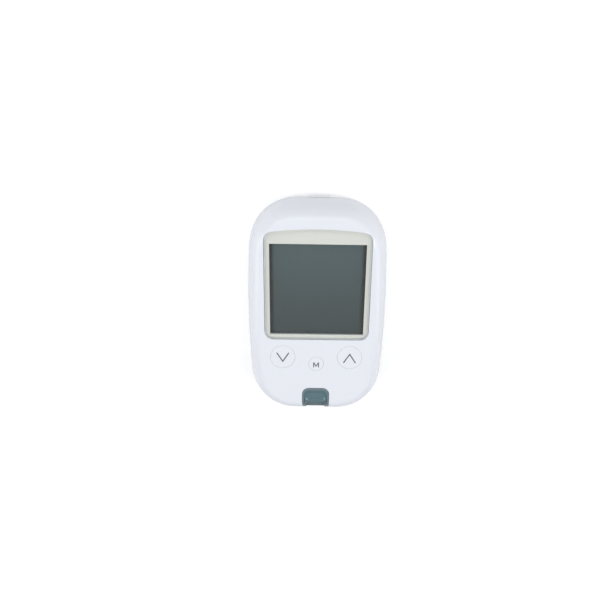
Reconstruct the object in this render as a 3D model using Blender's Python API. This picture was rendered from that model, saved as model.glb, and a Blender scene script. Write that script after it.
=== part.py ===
"""Blood glucose meter lying on its back, in metres.

+X is to the right and +Y towards the data port end as the display is read, and +Z points out of the display.
The origin is on the surface that the meter lies on, under the middle of its bounding box.
"""

import math

import bmesh
import bpy
from mathutils import Matrix, Vector
from mathutils.geometry import intersect_sphere_sphere_2d

# Clearances shared by all pieces
FIT = 0.0003
SEAM = 0.0003
OVERRUN = 0.001

# Covers
WALL = 0.0018
PARTING_HEIGHT = 0.0064
CORNER_RADIUS = 0.0204
SIDE_BOW_RADIUS = 0.46
END_BOW_RADIUS = 1.5
EDGE_INSET = 0.007
EDGE_POWER = 2.4
SIDE_MARGIN = 0.00825
TOP_MARGIN = 0.0094
LIP_THICKNESS = 0.0008
LIP_HEIGHT = 0.0015

# Display window, measured over the clear part of the display
CLEAR_WIDTH = 0.0403
CLEAR_HEIGHT = 0.0407
BORDER_SIDE = 0.0021
BORDER_TOP = 0.0064
BORDER_BOTTOM = 0.0017
WINDOW_CROWN = 0.0017
WINDOW_CORNER_RADIUS = 0.0035
WINDOW_THICKNESS = 0.0015
WINDOW_RECESS = 0.0002
BORDER_THICKNESS = 0.0004
WINDOW_LEDGE = 0.0010
WINDOW_RIM = 0.0012
PANEL_THICKNESS = 0.0016
PANEL_EDGE = 0.0015
PANEL_TERMINAL = 0.0024
HOLDER_HEIGHT = 0.0030
HOLDER_FRAME = 0.0039
CONNECTOR_WIDTH = 0.0022
CONNECTOR_INSET = 0.0024

# Keys
KEY_RADIUS = 0.0053
MODE_KEY_RADIUS = 0.0032
KEY_GAP = 0.00025
KEY_SPREAD = 0.01464
WINDOW_TO_KEYS = 0.00856
KEYS_TO_MODE_KEY = 0.00327
KEY_TRAVEL = 0.0005
KEY_FLANGE = 0.0010
KEY_CHAMFER = 0.00025
PLUNGER_RADIUS = 0.0016
PLUNGER_LENGTH = 0.0013
SWITCH_SIDE = 0.0045
SWITCH_HEIGHT = 0.0024
SWITCH_FLOOR = 0.0009
STEM_RADIUS = 0.0010

# Strip port and ejector
MODE_KEY_TO_PORT = 0.01227
PORT_LENGTH = 0.0137
PORT_WIDTH = 0.0118
PORT_CORNER_RADIUS = 0.0029
PORT_GAP = 0.00025
SLOT_WIDTH = 0.0082
SLOT_HEIGHT = 0.0016
SLOT_LIFT = 0.0029
SLOT_ROOF = 0.0004
MOUTH_LENGTH = 0.0053
MOUTH_CORNER_RADIUS = 0.0006
PORT_RIM = 0.0012
PORT_SIDE_RIM = 0.0008
EJECTOR_LENGTH = 0.0057
EJECTOR_THICKNESS = 0.0020
EJECTOR_TRAVEL = 0.0022
EJECTOR_CORNER_RADIUS = 0.0023
EJECTOR_DISH = 0.0006
LEG_LENGTH = 0.0013
RIDGE_WIDTH = 0.0044
RIDGE_DEPTH = 0.0005
RIDGE_INSET = 0.0013
SLIDE_WIDTH = 0.0030
SLIDE_THICKNESS = 0.0008
PUSHER_WIDTH = 0.0020
PUSHER_THICKNESS = 0.0007
STRIP_CONNECTOR_WIDTH = 0.0126
STRIP_CONNECTOR_LENGTH = 0.0050
STRIP_STOP = 0.0010
CONTACT_WIDTH = 0.0006
CONTACT_THICKNESS = 0.0003
CONTACT_HEIGHT = 0.0025
CONTACT_FOOT = 0.0012
CONTACT_PLACES = (-0.0036, -0.0022, 0.0022, 0.0036)

# Cells and their bay
CELL_RADIUS = 0.00525
CELL_LENGTH = 0.0437
NUB_RADIUS = 0.0019
NUB_LENGTH = 0.0008
SPRING_LENGTH = 0.0030
SPRING_RADIUS = 0.0032
SPRING_TIP_RADIUS = 0.0024
SPRING_WIRE_RADIUS = 0.0003
SPRING_TURNS = 3
PLATE_THICKNESS = 0.0005
PLATE_WIDTH = 0.0084
PLATE_HEIGHT = 0.0088
BAY_ROOF = 0.0010
BAY_WALL = 0.0012

# Battery door
DOOR_THICKNESS = 0.0016
DOOR_RECESS = 0.0002
DOOR_HALF_WIDTH = 0.0129
DOOR_CORNER_RADIUS = 0.0020
DOOR_END_MARGIN = 0.0120
DOOR_TO_TOP = 0.0208
DOOR_FRAME = 0.0010
HOOK_ZONE = 0.0030
HOOK_PLACE = 0.0070
HOOK_WIDTH = 0.0040
HOOK_FOOT = 0.0012
HOOK_REACH = 0.0010
HOOK_HEIGHT = 0.0015
HOOK_ROOM = 0.0007
LATCH_ZONE = 0.0030
LATCH_WIDTH = 0.0080
LATCH_HEIGHT = 0.0022
LATCH_THICKNESS = 0.0008
FINGER_RADIUS = 0.0050
FINGER_DEPTH = 0.0010

# Set button in the battery bay
WELL_LENGTH = 0.0060
WELL_HEIGHT = 0.0069
SET_BUTTON_RADIUS = 0.0015
SET_FLANGE_RADIUS = 0.0021
SET_FLANGE = 0.0008
SET_TRAVEL = 0.0005
SET_SWITCH_HEIGHT = 0.0020

# Circuit board and what stands on it
BOARD_THICKNESS = 0.0012
BOARD_INSET = 0.0042
PROCESSOR_SIZE = (0.0090, 0.0090, 0.0014)
PROCESSOR_PLACE = (-0.0045, 0.0015)
MEMORY_SIZE = (0.0050, 0.0040, 0.0010)
MEMORY_PLACE = (0.0095, 0.0075)
CRYSTAL_RADIUS = 0.0010
CRYSTAL_LENGTH = 0.0060
CRYSTAL_PLACE = (0.0095, -0.0045)
BUZZER_RADIUS = 0.0050
BUZZER_HEIGHT = 0.0022
BUZZER_GAP = 0.0010

# Data port in the top end of the rear cover
PORT_COVER_WIDTH = 0.00915
PORT_COVER_HEIGHT = 0.0042
PORT_COVER_DEPTH = 0.0024
PORT_COVER_STAND = 0.0008
PORT_COVER_OFFSET = 0.00033
PORT_COVER_ROUNDING = 0.0004
JACK_WIDTH = 0.0070
JACK_HEIGHT = 0.0036
JACK_LENGTH = 0.0094
JACK_RISER_LENGTH = 0.0050
JACK_FLANGE = 0.0008
JACK_BORE_RADIUS = 0.0013
JACK_BORE_DEPTH = 0.0080

# Cover screws
POST_RADIUS = 0.0029
SCREW_BOSS_RADIUS = 0.0033
SCREW_BOSS_RISE = 0.0016
SCREW_HEAD_RADIUS = 0.0020
SCREW_HEAD_HEIGHT = 0.0015
SCREW_HEAD_DEPTH = 0.0014
SCREW_RADIUS = 0.0008
SCREW_LENGTH = 0.0120
CROSS_WIDTH = 0.0005
CROSS_LENGTH = 0.0022
CROSS_DEPTH = 0.0006
TOP_SCREW_SIDE_MARGIN = 0.0175
TOP_SCREW_MARGIN = 0.0095
LOW_SCREW_SIDE_MARGIN = 0.0110
LOW_SCREW_MARGIN = 0.0170

# Rating label
LABEL_THICKNESS = 0.0002
LABEL_RECESS = 0.0001
LABEL_GAP = 0.0025
LABEL_SIDE_GAP = 0.0018

# Facets of round shapes
ROUND_SEGMENTS = 32
SMALL_SEGMENTS = 16
CORNER_SEGMENTS = 4
BODY_CORNER_SEGMENTS = 8
BODY_BOW_SEGMENTS = 3
FRONT_STEPS = 9
INSIDE_STEPS = 6
BACK_STEPS = 6

# Overall size: the meter is as long as the longer of two rows, the one on its face and the one on its back
WINDOW_WIDTH = CLEAR_WIDTH + 2 * BORDER_SIDE
WINDOW_HEIGHT = BORDER_BOTTOM + CLEAR_HEIGHT + BORDER_TOP
BODY_WIDTH = WINDOW_WIDTH + 2 * SIDE_MARGIN
FACE_ROW = TOP_MARGIN + WINDOW_HEIGHT + WINDOW_TO_KEYS + KEYS_TO_MODE_KEY + MODE_KEY_TO_PORT + PORT_LENGTH
BAY_LENGTH = CELL_LENGTH + NUB_LENGTH + SPRING_LENGTH + 2 * PLATE_THICKNESS + 5 * FIT
DOOR_LENGTH = HOOK_ZONE + BAY_WALL + BAY_LENGTH + WELL_LENGTH + LATCH_ZONE
BACK_ROW = DOOR_END_MARGIN + DOOR_LENGTH + DOOR_TO_TOP
BODY_LENGTH = max(FACE_ROW, BACK_ROW)
HALF_LENGTH = BODY_LENGTH / 2

# Places along Y
WINDOW_TOP = HALF_LENGTH - TOP_MARGIN
WINDOW_BOTTOM = WINDOW_TOP - WINDOW_HEIGHT
CLEAR_BOTTOM = WINDOW_BOTTOM + BORDER_BOTTOM
CLEAR_TOP = CLEAR_BOTTOM + CLEAR_HEIGHT
DISPLAY_Y = (CLEAR_BOTTOM + CLEAR_TOP) / 2
KEY_Y = WINDOW_BOTTOM - WINDOW_TO_KEYS
MODE_KEY_Y = KEY_Y - KEYS_TO_MODE_KEY
PORT_TOP = PORT_LENGTH - HALF_LENGTH
MOUTH_TOP = MOUTH_LENGTH - HALF_LENGTH
EJECTOR_TOP = PORT_TOP - PORT_RIM
EJECTOR_BOTTOM = EJECTOR_TOP - EJECTOR_LENGTH
EJECTOR_MIDDLE = (EJECTOR_TOP + EJECTOR_BOTTOM) / 2
LEG_BOTTOM = EJECTOR_MIDDLE - LEG_LENGTH
DOOR_BOTTOM = DOOR_END_MARGIN - HALF_LENGTH
BAY_BOTTOM = DOOR_BOTTOM + HOOK_ZONE + BAY_WALL
BAY_TOP = BAY_BOTTOM + BAY_LENGTH
SET_BUTTON_Y = BAY_TOP + BAY_WALL + (WELL_LENGTH - BAY_WALL) / 2
DOOR_TOP = DOOR_BOTTOM + DOOR_LENGTH

# Heights
DOOR_BACK = DOOR_RECESS + DOOR_THICKNESS
CELL_Z = DOOR_BACK + FIT + CELL_RADIUS
BAY_CEILING = CELL_Z + CELL_RADIUS + FIT
BOARD_BOTTOM = BAY_CEILING + BAY_ROOF + FIT
BOARD_TOP = BOARD_BOTTOM + BOARD_THICKNESS
HOLDER_BOTTOM = BOARD_TOP + FIT
PANEL_BOTTOM = HOLDER_BOTTOM + HOLDER_HEIGHT + FIT
LEDGE_BOTTOM = PANEL_BOTTOM + PANEL_THICKNESS + FIT
LEDGE_TOP = LEDGE_BOTTOM + WINDOW_LEDGE
BORDER_SEAT = LEDGE_TOP + FIT
WINDOW_SEAT = BORDER_SEAT + BORDER_THICKNESS + FIT
FACE_Z = WINDOW_SEAT + WINDOW_THICKNESS + WINDOW_RECESS
FACE_INSIDE = FACE_Z - WALL
SLOT_BOTTOM = HOLDER_BOTTOM + SLOT_LIFT
SLOT_TOP = SLOT_BOTTOM + SLOT_HEIGHT
EJECTOR_BASE = FACE_Z - EJECTOR_THICKNESS
SLIDE_BOTTOM = SLOT_TOP + SLOT_ROOF + FIT
SLIDE_TOP = SLIDE_BOTTOM + SLIDE_THICKNESS
WELL_TOP = DOOR_BACK + FIT + WELL_HEIGHT
PORT_AXIS_Z = PARTING_HEIGHT - SEAM - PORT_COVER_HEIGHT / 2
BOSS_TOP = PARTING_HEIGHT + SCREW_BOSS_RISE
SCREW_SEAT = SCREW_HEAD_DEPTH + SCREW_HEAD_HEIGHT + FIT

# Places across X
CELL_X = CELL_RADIUS + FIT / 2
BAY_HALF_WIDTH = CELL_X + CELL_RADIUS + FIT
BLOCK_HALF_WIDTH = DOOR_HALF_WIDTH + FIT + DOOR_FRAME
TOP_SCREW_X = BODY_WIDTH / 2 - TOP_SCREW_SIDE_MARGIN
LOW_SCREW_X = BODY_WIDTH / 2 - LOW_SCREW_SIDE_MARGIN
SCREW_PLACES = (
    (-TOP_SCREW_X, HALF_LENGTH - TOP_SCREW_MARGIN),
    (TOP_SCREW_X, HALF_LENGTH - TOP_SCREW_MARGIN),
    (-LOW_SCREW_X, LOW_SCREW_MARGIN - HALF_LENGTH),
    (LOW_SCREW_X, LOW_SCREW_MARGIN - HALF_LENGTH),
)
KEYS = {
    "down": (-KEY_SPREAD, KEY_Y, KEY_RADIUS),
    "mode": (0, MODE_KEY_Y, MODE_KEY_RADIUS),
    "up": (KEY_SPREAD, KEY_Y, KEY_RADIUS),
}
SWITCH_HALF_SIDE = SWITCH_SIDE / 2


# Building shapes


def shape(mesh):
    """An object that holds this mesh with its faces turned outward."""
    bmesh.ops.recalc_face_normals(mesh, faces=mesh.faces[:])
    data = bpy.data.meshes.new("shape")
    mesh.to_mesh(data)
    mesh.free()
    item = bpy.data.objects.new("shape", data)
    bpy.context.scene.collection.objects.link(item)
    return item


def loft(rings):
    """A solid through rings of equal point counts, closed by the first and the last."""
    mesh = bmesh.new()
    place = mesh.verts.layers.int.new("place")
    corners = []
    for number, point in enumerate(rings[0]):
        corner = mesh.verts.new(point)
        corner[place] = number
        corners.append(corner)
    foot = cap = mesh.faces.new(corners)
    for ring in rings[1:]:
        made = bmesh.ops.extrude_face_region(mesh, geom=[cap])["geom"]
        if cap is not foot:
            mesh.faces.remove(cap)
        cap = next(item for item in made if isinstance(item, bmesh.types.BMFace))
        for corner in cap.verts:
            corner.co = ring[corner[place]]
    return shape(mesh)


def at_height(points, z):
    return [(x, y, z) for x, y in points]


def prism(points, low, high):
    """An outline in X and Y, raised from one height to another."""
    return loft([at_height(points, low), at_height(points, high)])


def block(x_span, y_span, z_span):
    mesh = bmesh.new()
    bmesh.ops.create_cube(mesh, size=1)
    spans = (x_span, y_span, z_span)
    size = Matrix.Diagonal([high - low for low, high in spans] + [1])
    centre = Matrix.Translation([(low + high) / 2 for low, high in spans])
    bmesh.ops.transform(mesh, matrix=centre @ size, verts=mesh.verts)
    return shape(mesh)


def circle(x, y, radius, segments):
    turns = [2 * math.pi * step / segments for step in range(segments)]
    return [(x + radius * math.cos(turn), y + radius * math.sin(turn)) for turn in turns]


def turned(x, y, profile, segments=ROUND_SEGMENTS):
    """A solid turned about an upright axis, from (radius, height) pairs."""
    return loft([at_height(circle(x, y, radius, segments), z) for radius, z in profile])


def rod(x, y, radius, low, high, segments=ROUND_SEGMENTS):
    return turned(x, y, ((radius, low), (radius, high)), segments)


def lay_along_y(item, x, y, z):
    """Turns an upright shape that starts at the origin so that it runs along +Y from this point."""
    item.data.transform(Matrix.Translation((x, y, z)) @ Matrix.Rotation(-math.pi / 2, 4, "X"))
    return item


def lay_along_x(item, x, y, z):
    """Turns an upright shape that starts at the origin so that it runs along +X from this point."""
    item.data.transform(Matrix.Translation((x, y, z)) @ Matrix.Rotation(math.pi / 2, 4, "Y"))
    return item


def arc(x, y, radius, start, end, segments):
    turns = [start + (end - start) * step / segments for step in range(segments + 1)]
    return [(x + radius * math.cos(turn), y + radius * math.sin(turn)) for turn in turns]


def rounded_rectangle(x_span, y_span, low_radius, high_radius):
    """An outline whose lower and upper corners have their own radii."""
    quarter = math.pi / 2
    points = []
    corners = (
        (x_span[1], y_span[1], -1, -1, high_radius, 0),
        (x_span[0], y_span[1], 1, -1, high_radius, 1),
        (x_span[0], y_span[0], 1, 1, low_radius, 2),
        (x_span[1], y_span[0], -1, 1, low_radius, 3),
    )
    for x, y, inward_x, inward_y, radius, turn in corners:
        centre = (x + inward_x * radius, y + inward_y * radius)
        points += arc(*centre, radius, turn * quarter, (turn + 1) * quarter, CORNER_SEGMENTS)
    return points


def combine(item, other, operation):
    """Joins or cuts one shape with another, which is used up."""
    step = item.modifiers.new("combine", "BOOLEAN")
    step.operation = operation
    step.solver = "EXACT"
    step.object = other
    graph = bpy.context.evaluated_depsgraph_get()
    result = bpy.data.meshes.new_from_object(item.evaluated_get(graph))
    item.modifiers.clear()
    item.data = result
    bpy.data.objects.remove(other)
    return item


def cut(item, *cutters):
    for cutter in cutters:
        combine(item, cutter, "DIFFERENCE")
    return item


def join(item, *others):
    for other in others:
        combine(item, other, "UNION")
    return item


def material(name, color, roughness, metallic=0.0, alpha=1.0):
    found = bpy.data.materials.get(name)
    if found:
        return found
    made = bpy.data.materials.new(name)
    made.use_nodes = True
    shader = made.node_tree.nodes["Principled BSDF"]
    shader.inputs["Base Color"].default_value = (*color, 1.0)
    shader.inputs["Roughness"].default_value = roughness
    shader.inputs["Metallic"].default_value = metallic
    shader.inputs["Alpha"].default_value = alpha
    made.diffuse_color = (*color, alpha)
    return made


WHITE = ("white plastic", (0.80, 0.82, 0.86), 0.22)
BORDER = ("warm grey print", (0.66, 0.66, 0.60), 0.45)
CLEAR = ("clear window", (0.90, 0.92, 0.92), 0.05, 0.0, 0.25)
DISPLAY = ("display glass", (0.13, 0.15, 0.15), 0.15)
TEAL = ("teal plastic", (0.10, 0.16, 0.18), 0.35)
FRAME = ("white frame plastic", (0.70, 0.70, 0.68), 0.6)
ELASTOMER = ("elastomer", (0.25, 0.20, 0.12), 0.7)
BOARD = ("circuit board", (0.02, 0.16, 0.07), 0.45)
CHIP = ("chip plastic", (0.02, 0.02, 0.02), 0.5)
METAL = ("bright metal", (0.70, 0.70, 0.68), 0.25, 1.0)
BRASS = ("gilt contact", (0.75, 0.58, 0.25), 0.3, 1.0)
BLACK = ("black plastic", (0.03, 0.03, 0.03), 0.5)
CELL = ("cell sleeve", (0.16, 0.17, 0.19), 0.35)
RUBBER = ("pale rubber", (0.72, 0.74, 0.77), 0.55)
LABEL = ("label film", (0.78, 0.78, 0.76), 0.5)


def piece(name, item, finish, smooth=True):
    """Names a finished shape and gives it its material."""
    item.name = name
    item.data.name = name
    item.data.materials.clear()
    item.data.materials.append(material(*finish))
    if smooth:
        item.data.shade_smooth()
        item.data.set_sharp_from_angle(angle=math.radians(30))
    return item


def set_axis(item, x, y, z):
    """Puts the origin of a moving piece on its joint's axis."""
    item.data.transform(Matrix.Translation((-x, -y, -z)))
    item.location = (x, y, z)
    return item


# Outlines of the covers and of the window


def body_outline(inset):
    """The outline seen from above: bowed sides and ends with round corners, drawn in evenly."""
    side_centre = Vector((BODY_WIDTH / 2 - SIDE_BOW_RADIUS, 0))
    end_centre = Vector((0, HALF_LENGTH - END_BOW_RADIUS))
    found = intersect_sphere_sphere_2d(
        side_centre, SIDE_BOW_RADIUS - CORNER_RADIUS, end_centre, END_BOW_RADIUS - CORNER_RADIUS
    )
    corner = max(found, key=lambda point: point.x + point.y)
    side_turn = math.atan2(corner.y - side_centre.y, corner.x - side_centre.x)
    end_turn = math.atan2(corner.y - end_centre.y, corner.x - end_centre.x)
    quarter = arc(*side_centre, SIDE_BOW_RADIUS - inset, 0, side_turn, BODY_BOW_SEGMENTS)
    quarter += arc(*corner, CORNER_RADIUS - inset, side_turn, end_turn, BODY_CORNER_SEGMENTS)[1:]
    quarter += arc(*end_centre, END_BOW_RADIUS - inset, end_turn, math.pi / 2, BODY_BOW_SEGMENTS)[1:]
    upper = quarter[:-1] + [(-x, y) for x, y in reversed(quarter)]
    return upper[:-1] + [(-x, -y) for x, y in upper[:-1]]


def edge_rings(base, top, wall, depth, steps):
    """Outlines that draw in along a rounded edge, from the parting height to a flat face."""
    rings = []
    for step in range(steps + 1):
        turn = math.pi / 2 * step / steps
        rise = math.sin(turn) ** (2 / EDGE_POWER)
        spread = max(math.cos(turn), 0) ** (2 / EDGE_POWER)
        inset = wall + depth * (1 - spread)
        rings.append(at_height(body_outline(inset), base + (top - base) * rise))
    return rings


def front_solid():
    return loft(edge_rings(PARTING_HEIGHT + SEAM / 2, FACE_Z, 0, EDGE_INSET, FRONT_STEPS))


def window_outline(grow):
    """The window: straight sides and foot, round corners and a slightly crowned top."""
    half = WINDOW_WIDTH / 2 + grow
    radius = WINDOW_CORNER_RADIUS + grow
    low, high = WINDOW_BOTTOM - grow, WINDOW_TOP + grow
    crown_radius = (half**2 + WINDOW_CROWN**2) / (2 * WINDOW_CROWN)
    crown_centre = high - crown_radius
    corner_x = half - radius
    corner_y = crown_centre + math.sqrt((crown_radius - radius) ** 2 - corner_x**2)
    crown_turn = math.atan2(corner_y - crown_centre, corner_x)
    points = arc(corner_x, corner_y, radius, 0, crown_turn, CORNER_SEGMENTS)
    points += arc(0, crown_centre, crown_radius, crown_turn, math.pi - crown_turn, 2 * CORNER_SEGMENTS)[1:]
    points += arc(-corner_x, corner_y, radius, math.pi - crown_turn, math.pi, CORNER_SEGMENTS)[1:]
    points += arc(-corner_x, low + radius, radius, math.pi, 1.5 * math.pi, CORNER_SEGMENTS)
    points += arc(corner_x, low + radius, radius, 1.5 * math.pi, 2 * math.pi, CORNER_SEGMENTS)
    return points


def clear_opening(grow, low, high):
    half = CLEAR_WIDTH / 2 + grow
    return block((-half, half), (CLEAR_BOTTOM - grow, CLEAR_TOP + grow), (low, high))


def port_outline(grow):
    half = PORT_WIDTH / 2 + grow
    y_span = (-HALF_LENGTH - OVERRUN - grow, PORT_TOP + grow)
    return rounded_rectangle((-half, half), y_span, OVERRUN, PORT_CORNER_RADIUS + grow)


def port_cover_cut():
    """The gap for the data port cover, through the end wall of the rear cover."""
    half = PORT_COVER_WIDTH / 2 + FIT
    rise = PORT_COVER_HEIGHT / 2 + FIT
    return block(
        (PORT_COVER_OFFSET - half, PORT_COVER_OFFSET + half),
        (HALF_LENGTH - WALL - LIP_THICKNESS - OVERRUN, HALF_LENGTH + OVERRUN),
        (PORT_AXIS_Z - rise, PORT_AXIS_Z + rise),
    )


def jack_cut():
    """Room for the jack where the rear cover's floor rises to its end wall."""
    half = JACK_WIDTH / 2 + FIT
    rise = JACK_HEIGHT / 2 + FIT
    return block(
        (PORT_COVER_OFFSET - half, PORT_COVER_OFFSET + half),
        (HALF_LENGTH - WALL - EDGE_INSET, HALF_LENGTH - WALL - LIP_THICKNESS),
        (PORT_AXIS_Z - rise, PORT_AXIS_Z + rise),
    )


# Covers


def make_front_cover():
    base = PARTING_HEIGHT + SEAM / 2
    rebate_inset = WALL - LIP_THICKNESS - FIT
    rebate_top = PARTING_HEIGHT + LIP_HEIGHT + FIT
    cavity = [at_height(body_outline(rebate_inset), z) for z in (base - OVERRUN, rebate_top)]
    cavity += edge_rings(rebate_top, FACE_INSIDE, WALL, EDGE_INSET - WALL / 2, INSIDE_STEPS)
    cover = cut(front_solid(), loft(cavity))
    join(cover, prism(window_outline(FIT + WINDOW_RIM), LEDGE_BOTTOM, FACE_INSIDE + FIT))
    for x, y in SCREW_PLACES:
        join(cover, rod(x, y, POST_RADIUS, BOSS_TOP + FIT, FACE_INSIDE + FIT, SMALL_SEGMENTS))
    cut(cover, prism(window_outline(FIT), LEDGE_TOP, FACE_Z + OVERRUN))
    cut(cover, clear_opening(FIT, LEDGE_BOTTOM - OVERRUN, LEDGE_TOP + OVERRUN))
    for x, y, radius in KEYS.values():
        cut(cover, rod(x, y, radius + KEY_GAP, FACE_INSIDE - OVERRUN, FACE_Z + OVERRUN))
    cut(cover, prism(port_outline(PORT_GAP), HOLDER_BOTTOM - PORT_GAP, FACE_Z + OVERRUN))
    for x, y in SCREW_PLACES:
        bottom = BOSS_TOP - OVERRUN
        cut(cover, rod(x, y, SCREW_RADIUS + FIT, bottom, SCREW_SEAT + SCREW_LENGTH + OVERRUN, SMALL_SEGMENTS))
    return piece("front_cover", cover, WHITE)


def rear_shell():
    """The rear tray with the lip that stands inside the front cover."""
    top = PARTING_HEIGHT - SEAM / 2
    outside = list(reversed(edge_rings(top, 0, 0, EDGE_INSET, BACK_STEPS)))
    lip_inset = WALL - LIP_THICKNESS
    outside += [at_height(body_outline(lip_inset), z) for z in (top, PARTING_HEIGHT + LIP_HEIGHT)]
    inside = list(reversed(edge_rings(top, WALL, WALL, EDGE_INSET - WALL / 2, BACK_STEPS)))
    inside.append(at_height(body_outline(WALL), PARTING_HEIGHT + LIP_HEIGHT + OVERRUN))
    return cut(loft(outside), loft(inside))


def bay_block():
    """The walls and roof around the cells, and the lower well for the set button and latch."""
    width = (-BLOCK_HALF_WIDTH, BLOCK_HALF_WIDTH)
    foot = WALL / 2
    low_end = DOOR_BOTTOM - HOOK_REACH - 2 * DOOR_FRAME
    tall = block(width, (low_end, BAY_TOP + BAY_WALL), (foot, BAY_CEILING + BAY_ROOF))
    low = block(width, (BAY_TOP, DOOR_TOP + FIT + DOOR_FRAME), (foot, WELL_TOP))
    return join(tall, low)


def hook_spans():
    return [
        (place - HOOK_WIDTH / 2, place + HOOK_WIDTH / 2) for place in (-HOOK_PLACE, HOOK_PLACE)
    ]


def door_outline(grow):
    half = DOOR_HALF_WIDTH + grow
    radius = DOOR_CORNER_RADIUS + grow
    return rounded_rectangle((-half, half), (DOOR_BOTTOM - grow, DOOR_TOP + grow), radius, radius)


def make_rear_cover():
    cover = join(rear_shell(), bay_block())
    for x, y in SCREW_PLACES:
        join(cover, rod(x, y, SCREW_BOSS_RADIUS, WALL / 2, BOSS_TOP, SMALL_SEGMENTS))
    pocket_top = DOOR_BACK + FIT
    cut(cover, prism(door_outline(FIT), -OVERRUN, pocket_top))
    bay_width = (-BAY_HALF_WIDTH, BAY_HALF_WIDTH)
    cut(cover, block(bay_width, (BAY_BOTTOM, BAY_TOP), (DOOR_RECESS, BAY_CEILING)))
    hook_top = pocket_top + HOOK_HEIGHT + HOOK_ROOM
    for low, high in hook_spans():
        y_span = (DOOR_BOTTOM - HOOK_REACH - DOOR_FRAME / 2, DOOR_BOTTOM + HOOK_ZONE)
        cut(cover, block((low - FIT, high + FIT), y_span, (DOOR_BACK, hook_top)))
    latch_half = LATCH_WIDTH / 2 + FIT
    latch_span = (DOOR_TOP - LATCH_ZONE + FIT, DOOR_TOP)
    latch_top = DOOR_BACK + LATCH_HEIGHT + FIT
    cut(cover, block((-latch_half, latch_half), latch_span, (DOOR_RECESS, latch_top)))
    well_radius = SET_BUTTON_RADIUS + FIT
    cut(cover, rod(0, SET_BUTTON_Y, well_radius, DOOR_RECESS, WELL_TOP + OVERRUN, SMALL_SEGMENTS))
    finger = ((FINGER_RADIUS, -OVERRUN), (FINGER_RADIUS, 0), (FINGER_RADIUS / 2, FINGER_DEPTH))
    cut(cover, turned(0, DOOR_TOP + FIT, finger))
    cut(cover, port_cover_cut(), jack_cut())
    for x, y in SCREW_PLACES:
        head_radius = SCREW_HEAD_RADIUS + FIT
        cut(cover, rod(x, y, head_radius, -OVERRUN, SCREW_SEAT, SMALL_SEGMENTS))
        cut(cover, rod(x, y, SCREW_RADIUS + FIT, 0, BOSS_TOP + OVERRUN, SMALL_SEGMENTS))
    low, high = label_spans(FIT)
    cut(cover, block(low, high, (-OVERRUN, LABEL_RECESS + LABEL_THICKNESS + FIT)))
    return piece("rear_cover", cover, WHITE)


# Display


def make_display():
    border = prism(window_outline(0), BORDER_SEAT, BORDER_SEAT + BORDER_THICKNESS)
    cut(border, clear_opening(0, BORDER_SEAT - OVERRUN, WINDOW_SEAT))
    piece("window_border", border, BORDER)
    window = prism(window_outline(0), WINDOW_SEAT, WINDOW_SEAT + WINDOW_THICKNESS)
    piece("display_window", window, CLEAR)
    half = CLEAR_WIDTH / 2 + PANEL_EDGE
    low, high = CLEAR_BOTTOM - PANEL_TERMINAL, CLEAR_TOP + PANEL_EDGE
    panel = block((-half, half), (low, high), (PANEL_BOTTOM, PANEL_BOTTOM + PANEL_THICKNESS))
    piece("display_panel", panel, DISPLAY, smooth=False)
    holder_low = low + CONNECTOR_WIDTH + 2 * FIT
    holder_z = (HOLDER_BOTTOM, HOLDER_BOTTOM + HOLDER_HEIGHT)
    holder = block((-half, half), (holder_low, high), holder_z)
    inner_half = half - HOLDER_FRAME
    inner_y = (holder_low + HOLDER_FRAME, high - HOLDER_FRAME)
    inner_z = (HOLDER_BOTTOM - OVERRUN, PANEL_BOTTOM)
    cut(holder, block((-inner_half, inner_half), inner_y, inner_z))
    piece("display_holder", holder, FRAME, smooth=False)
    strip_half = half - CONNECTOR_INSET
    strip = block((-strip_half, strip_half), (low + FIT, low + FIT + CONNECTOR_WIDTH), holder_z)
    piece("elastomer_connector", strip, ELASTOMER, smooth=False)


# Keys and their switches


def make_key(name, x, y, radius):
    flange_radius = radius + KEY_FLANGE
    flange_top = FACE_INSIDE - FIT
    flange_bottom = flange_top - KEY_FLANGE
    bottom = flange_bottom - PLUNGER_LENGTH
    profile = (
        (PLUNGER_RADIUS, bottom),
        (PLUNGER_RADIUS, flange_bottom),
        (flange_radius, flange_bottom),
        (flange_radius, flange_top),
        (radius, flange_top),
        (radius, FACE_Z - KEY_CHAMFER),
        (radius - KEY_CHAMFER, FACE_Z),
    )
    set_axis(piece(f"button_{name}", turned(x, y, profile), WHITE), x, y, FACE_Z)
    switch_top = HOLDER_BOTTOM + SWITCH_HEIGHT
    floor = HOLDER_BOTTOM + SWITCH_FLOOR
    x_span = (x - SWITCH_HALF_SIDE, x + SWITCH_HALF_SIDE)
    y_span = (y - SWITCH_HALF_SIDE, y + SWITCH_HALF_SIDE)
    housing = block(x_span, y_span, (HOLDER_BOTTOM, switch_top))
    cut(housing, rod(x, y, STEM_RADIUS + FIT, floor, switch_top + OVERRUN, SMALL_SEGMENTS))
    piece(f"key_switch_{name}", housing, BLACK)
    stem = rod(x, y, STEM_RADIUS, floor + KEY_TRAVEL + FIT, bottom - FIT, SMALL_SEGMENTS)
    set_axis(piece(f"switch_stem_{name}", stem, FRAME), x, y, bottom - FIT)


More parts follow.
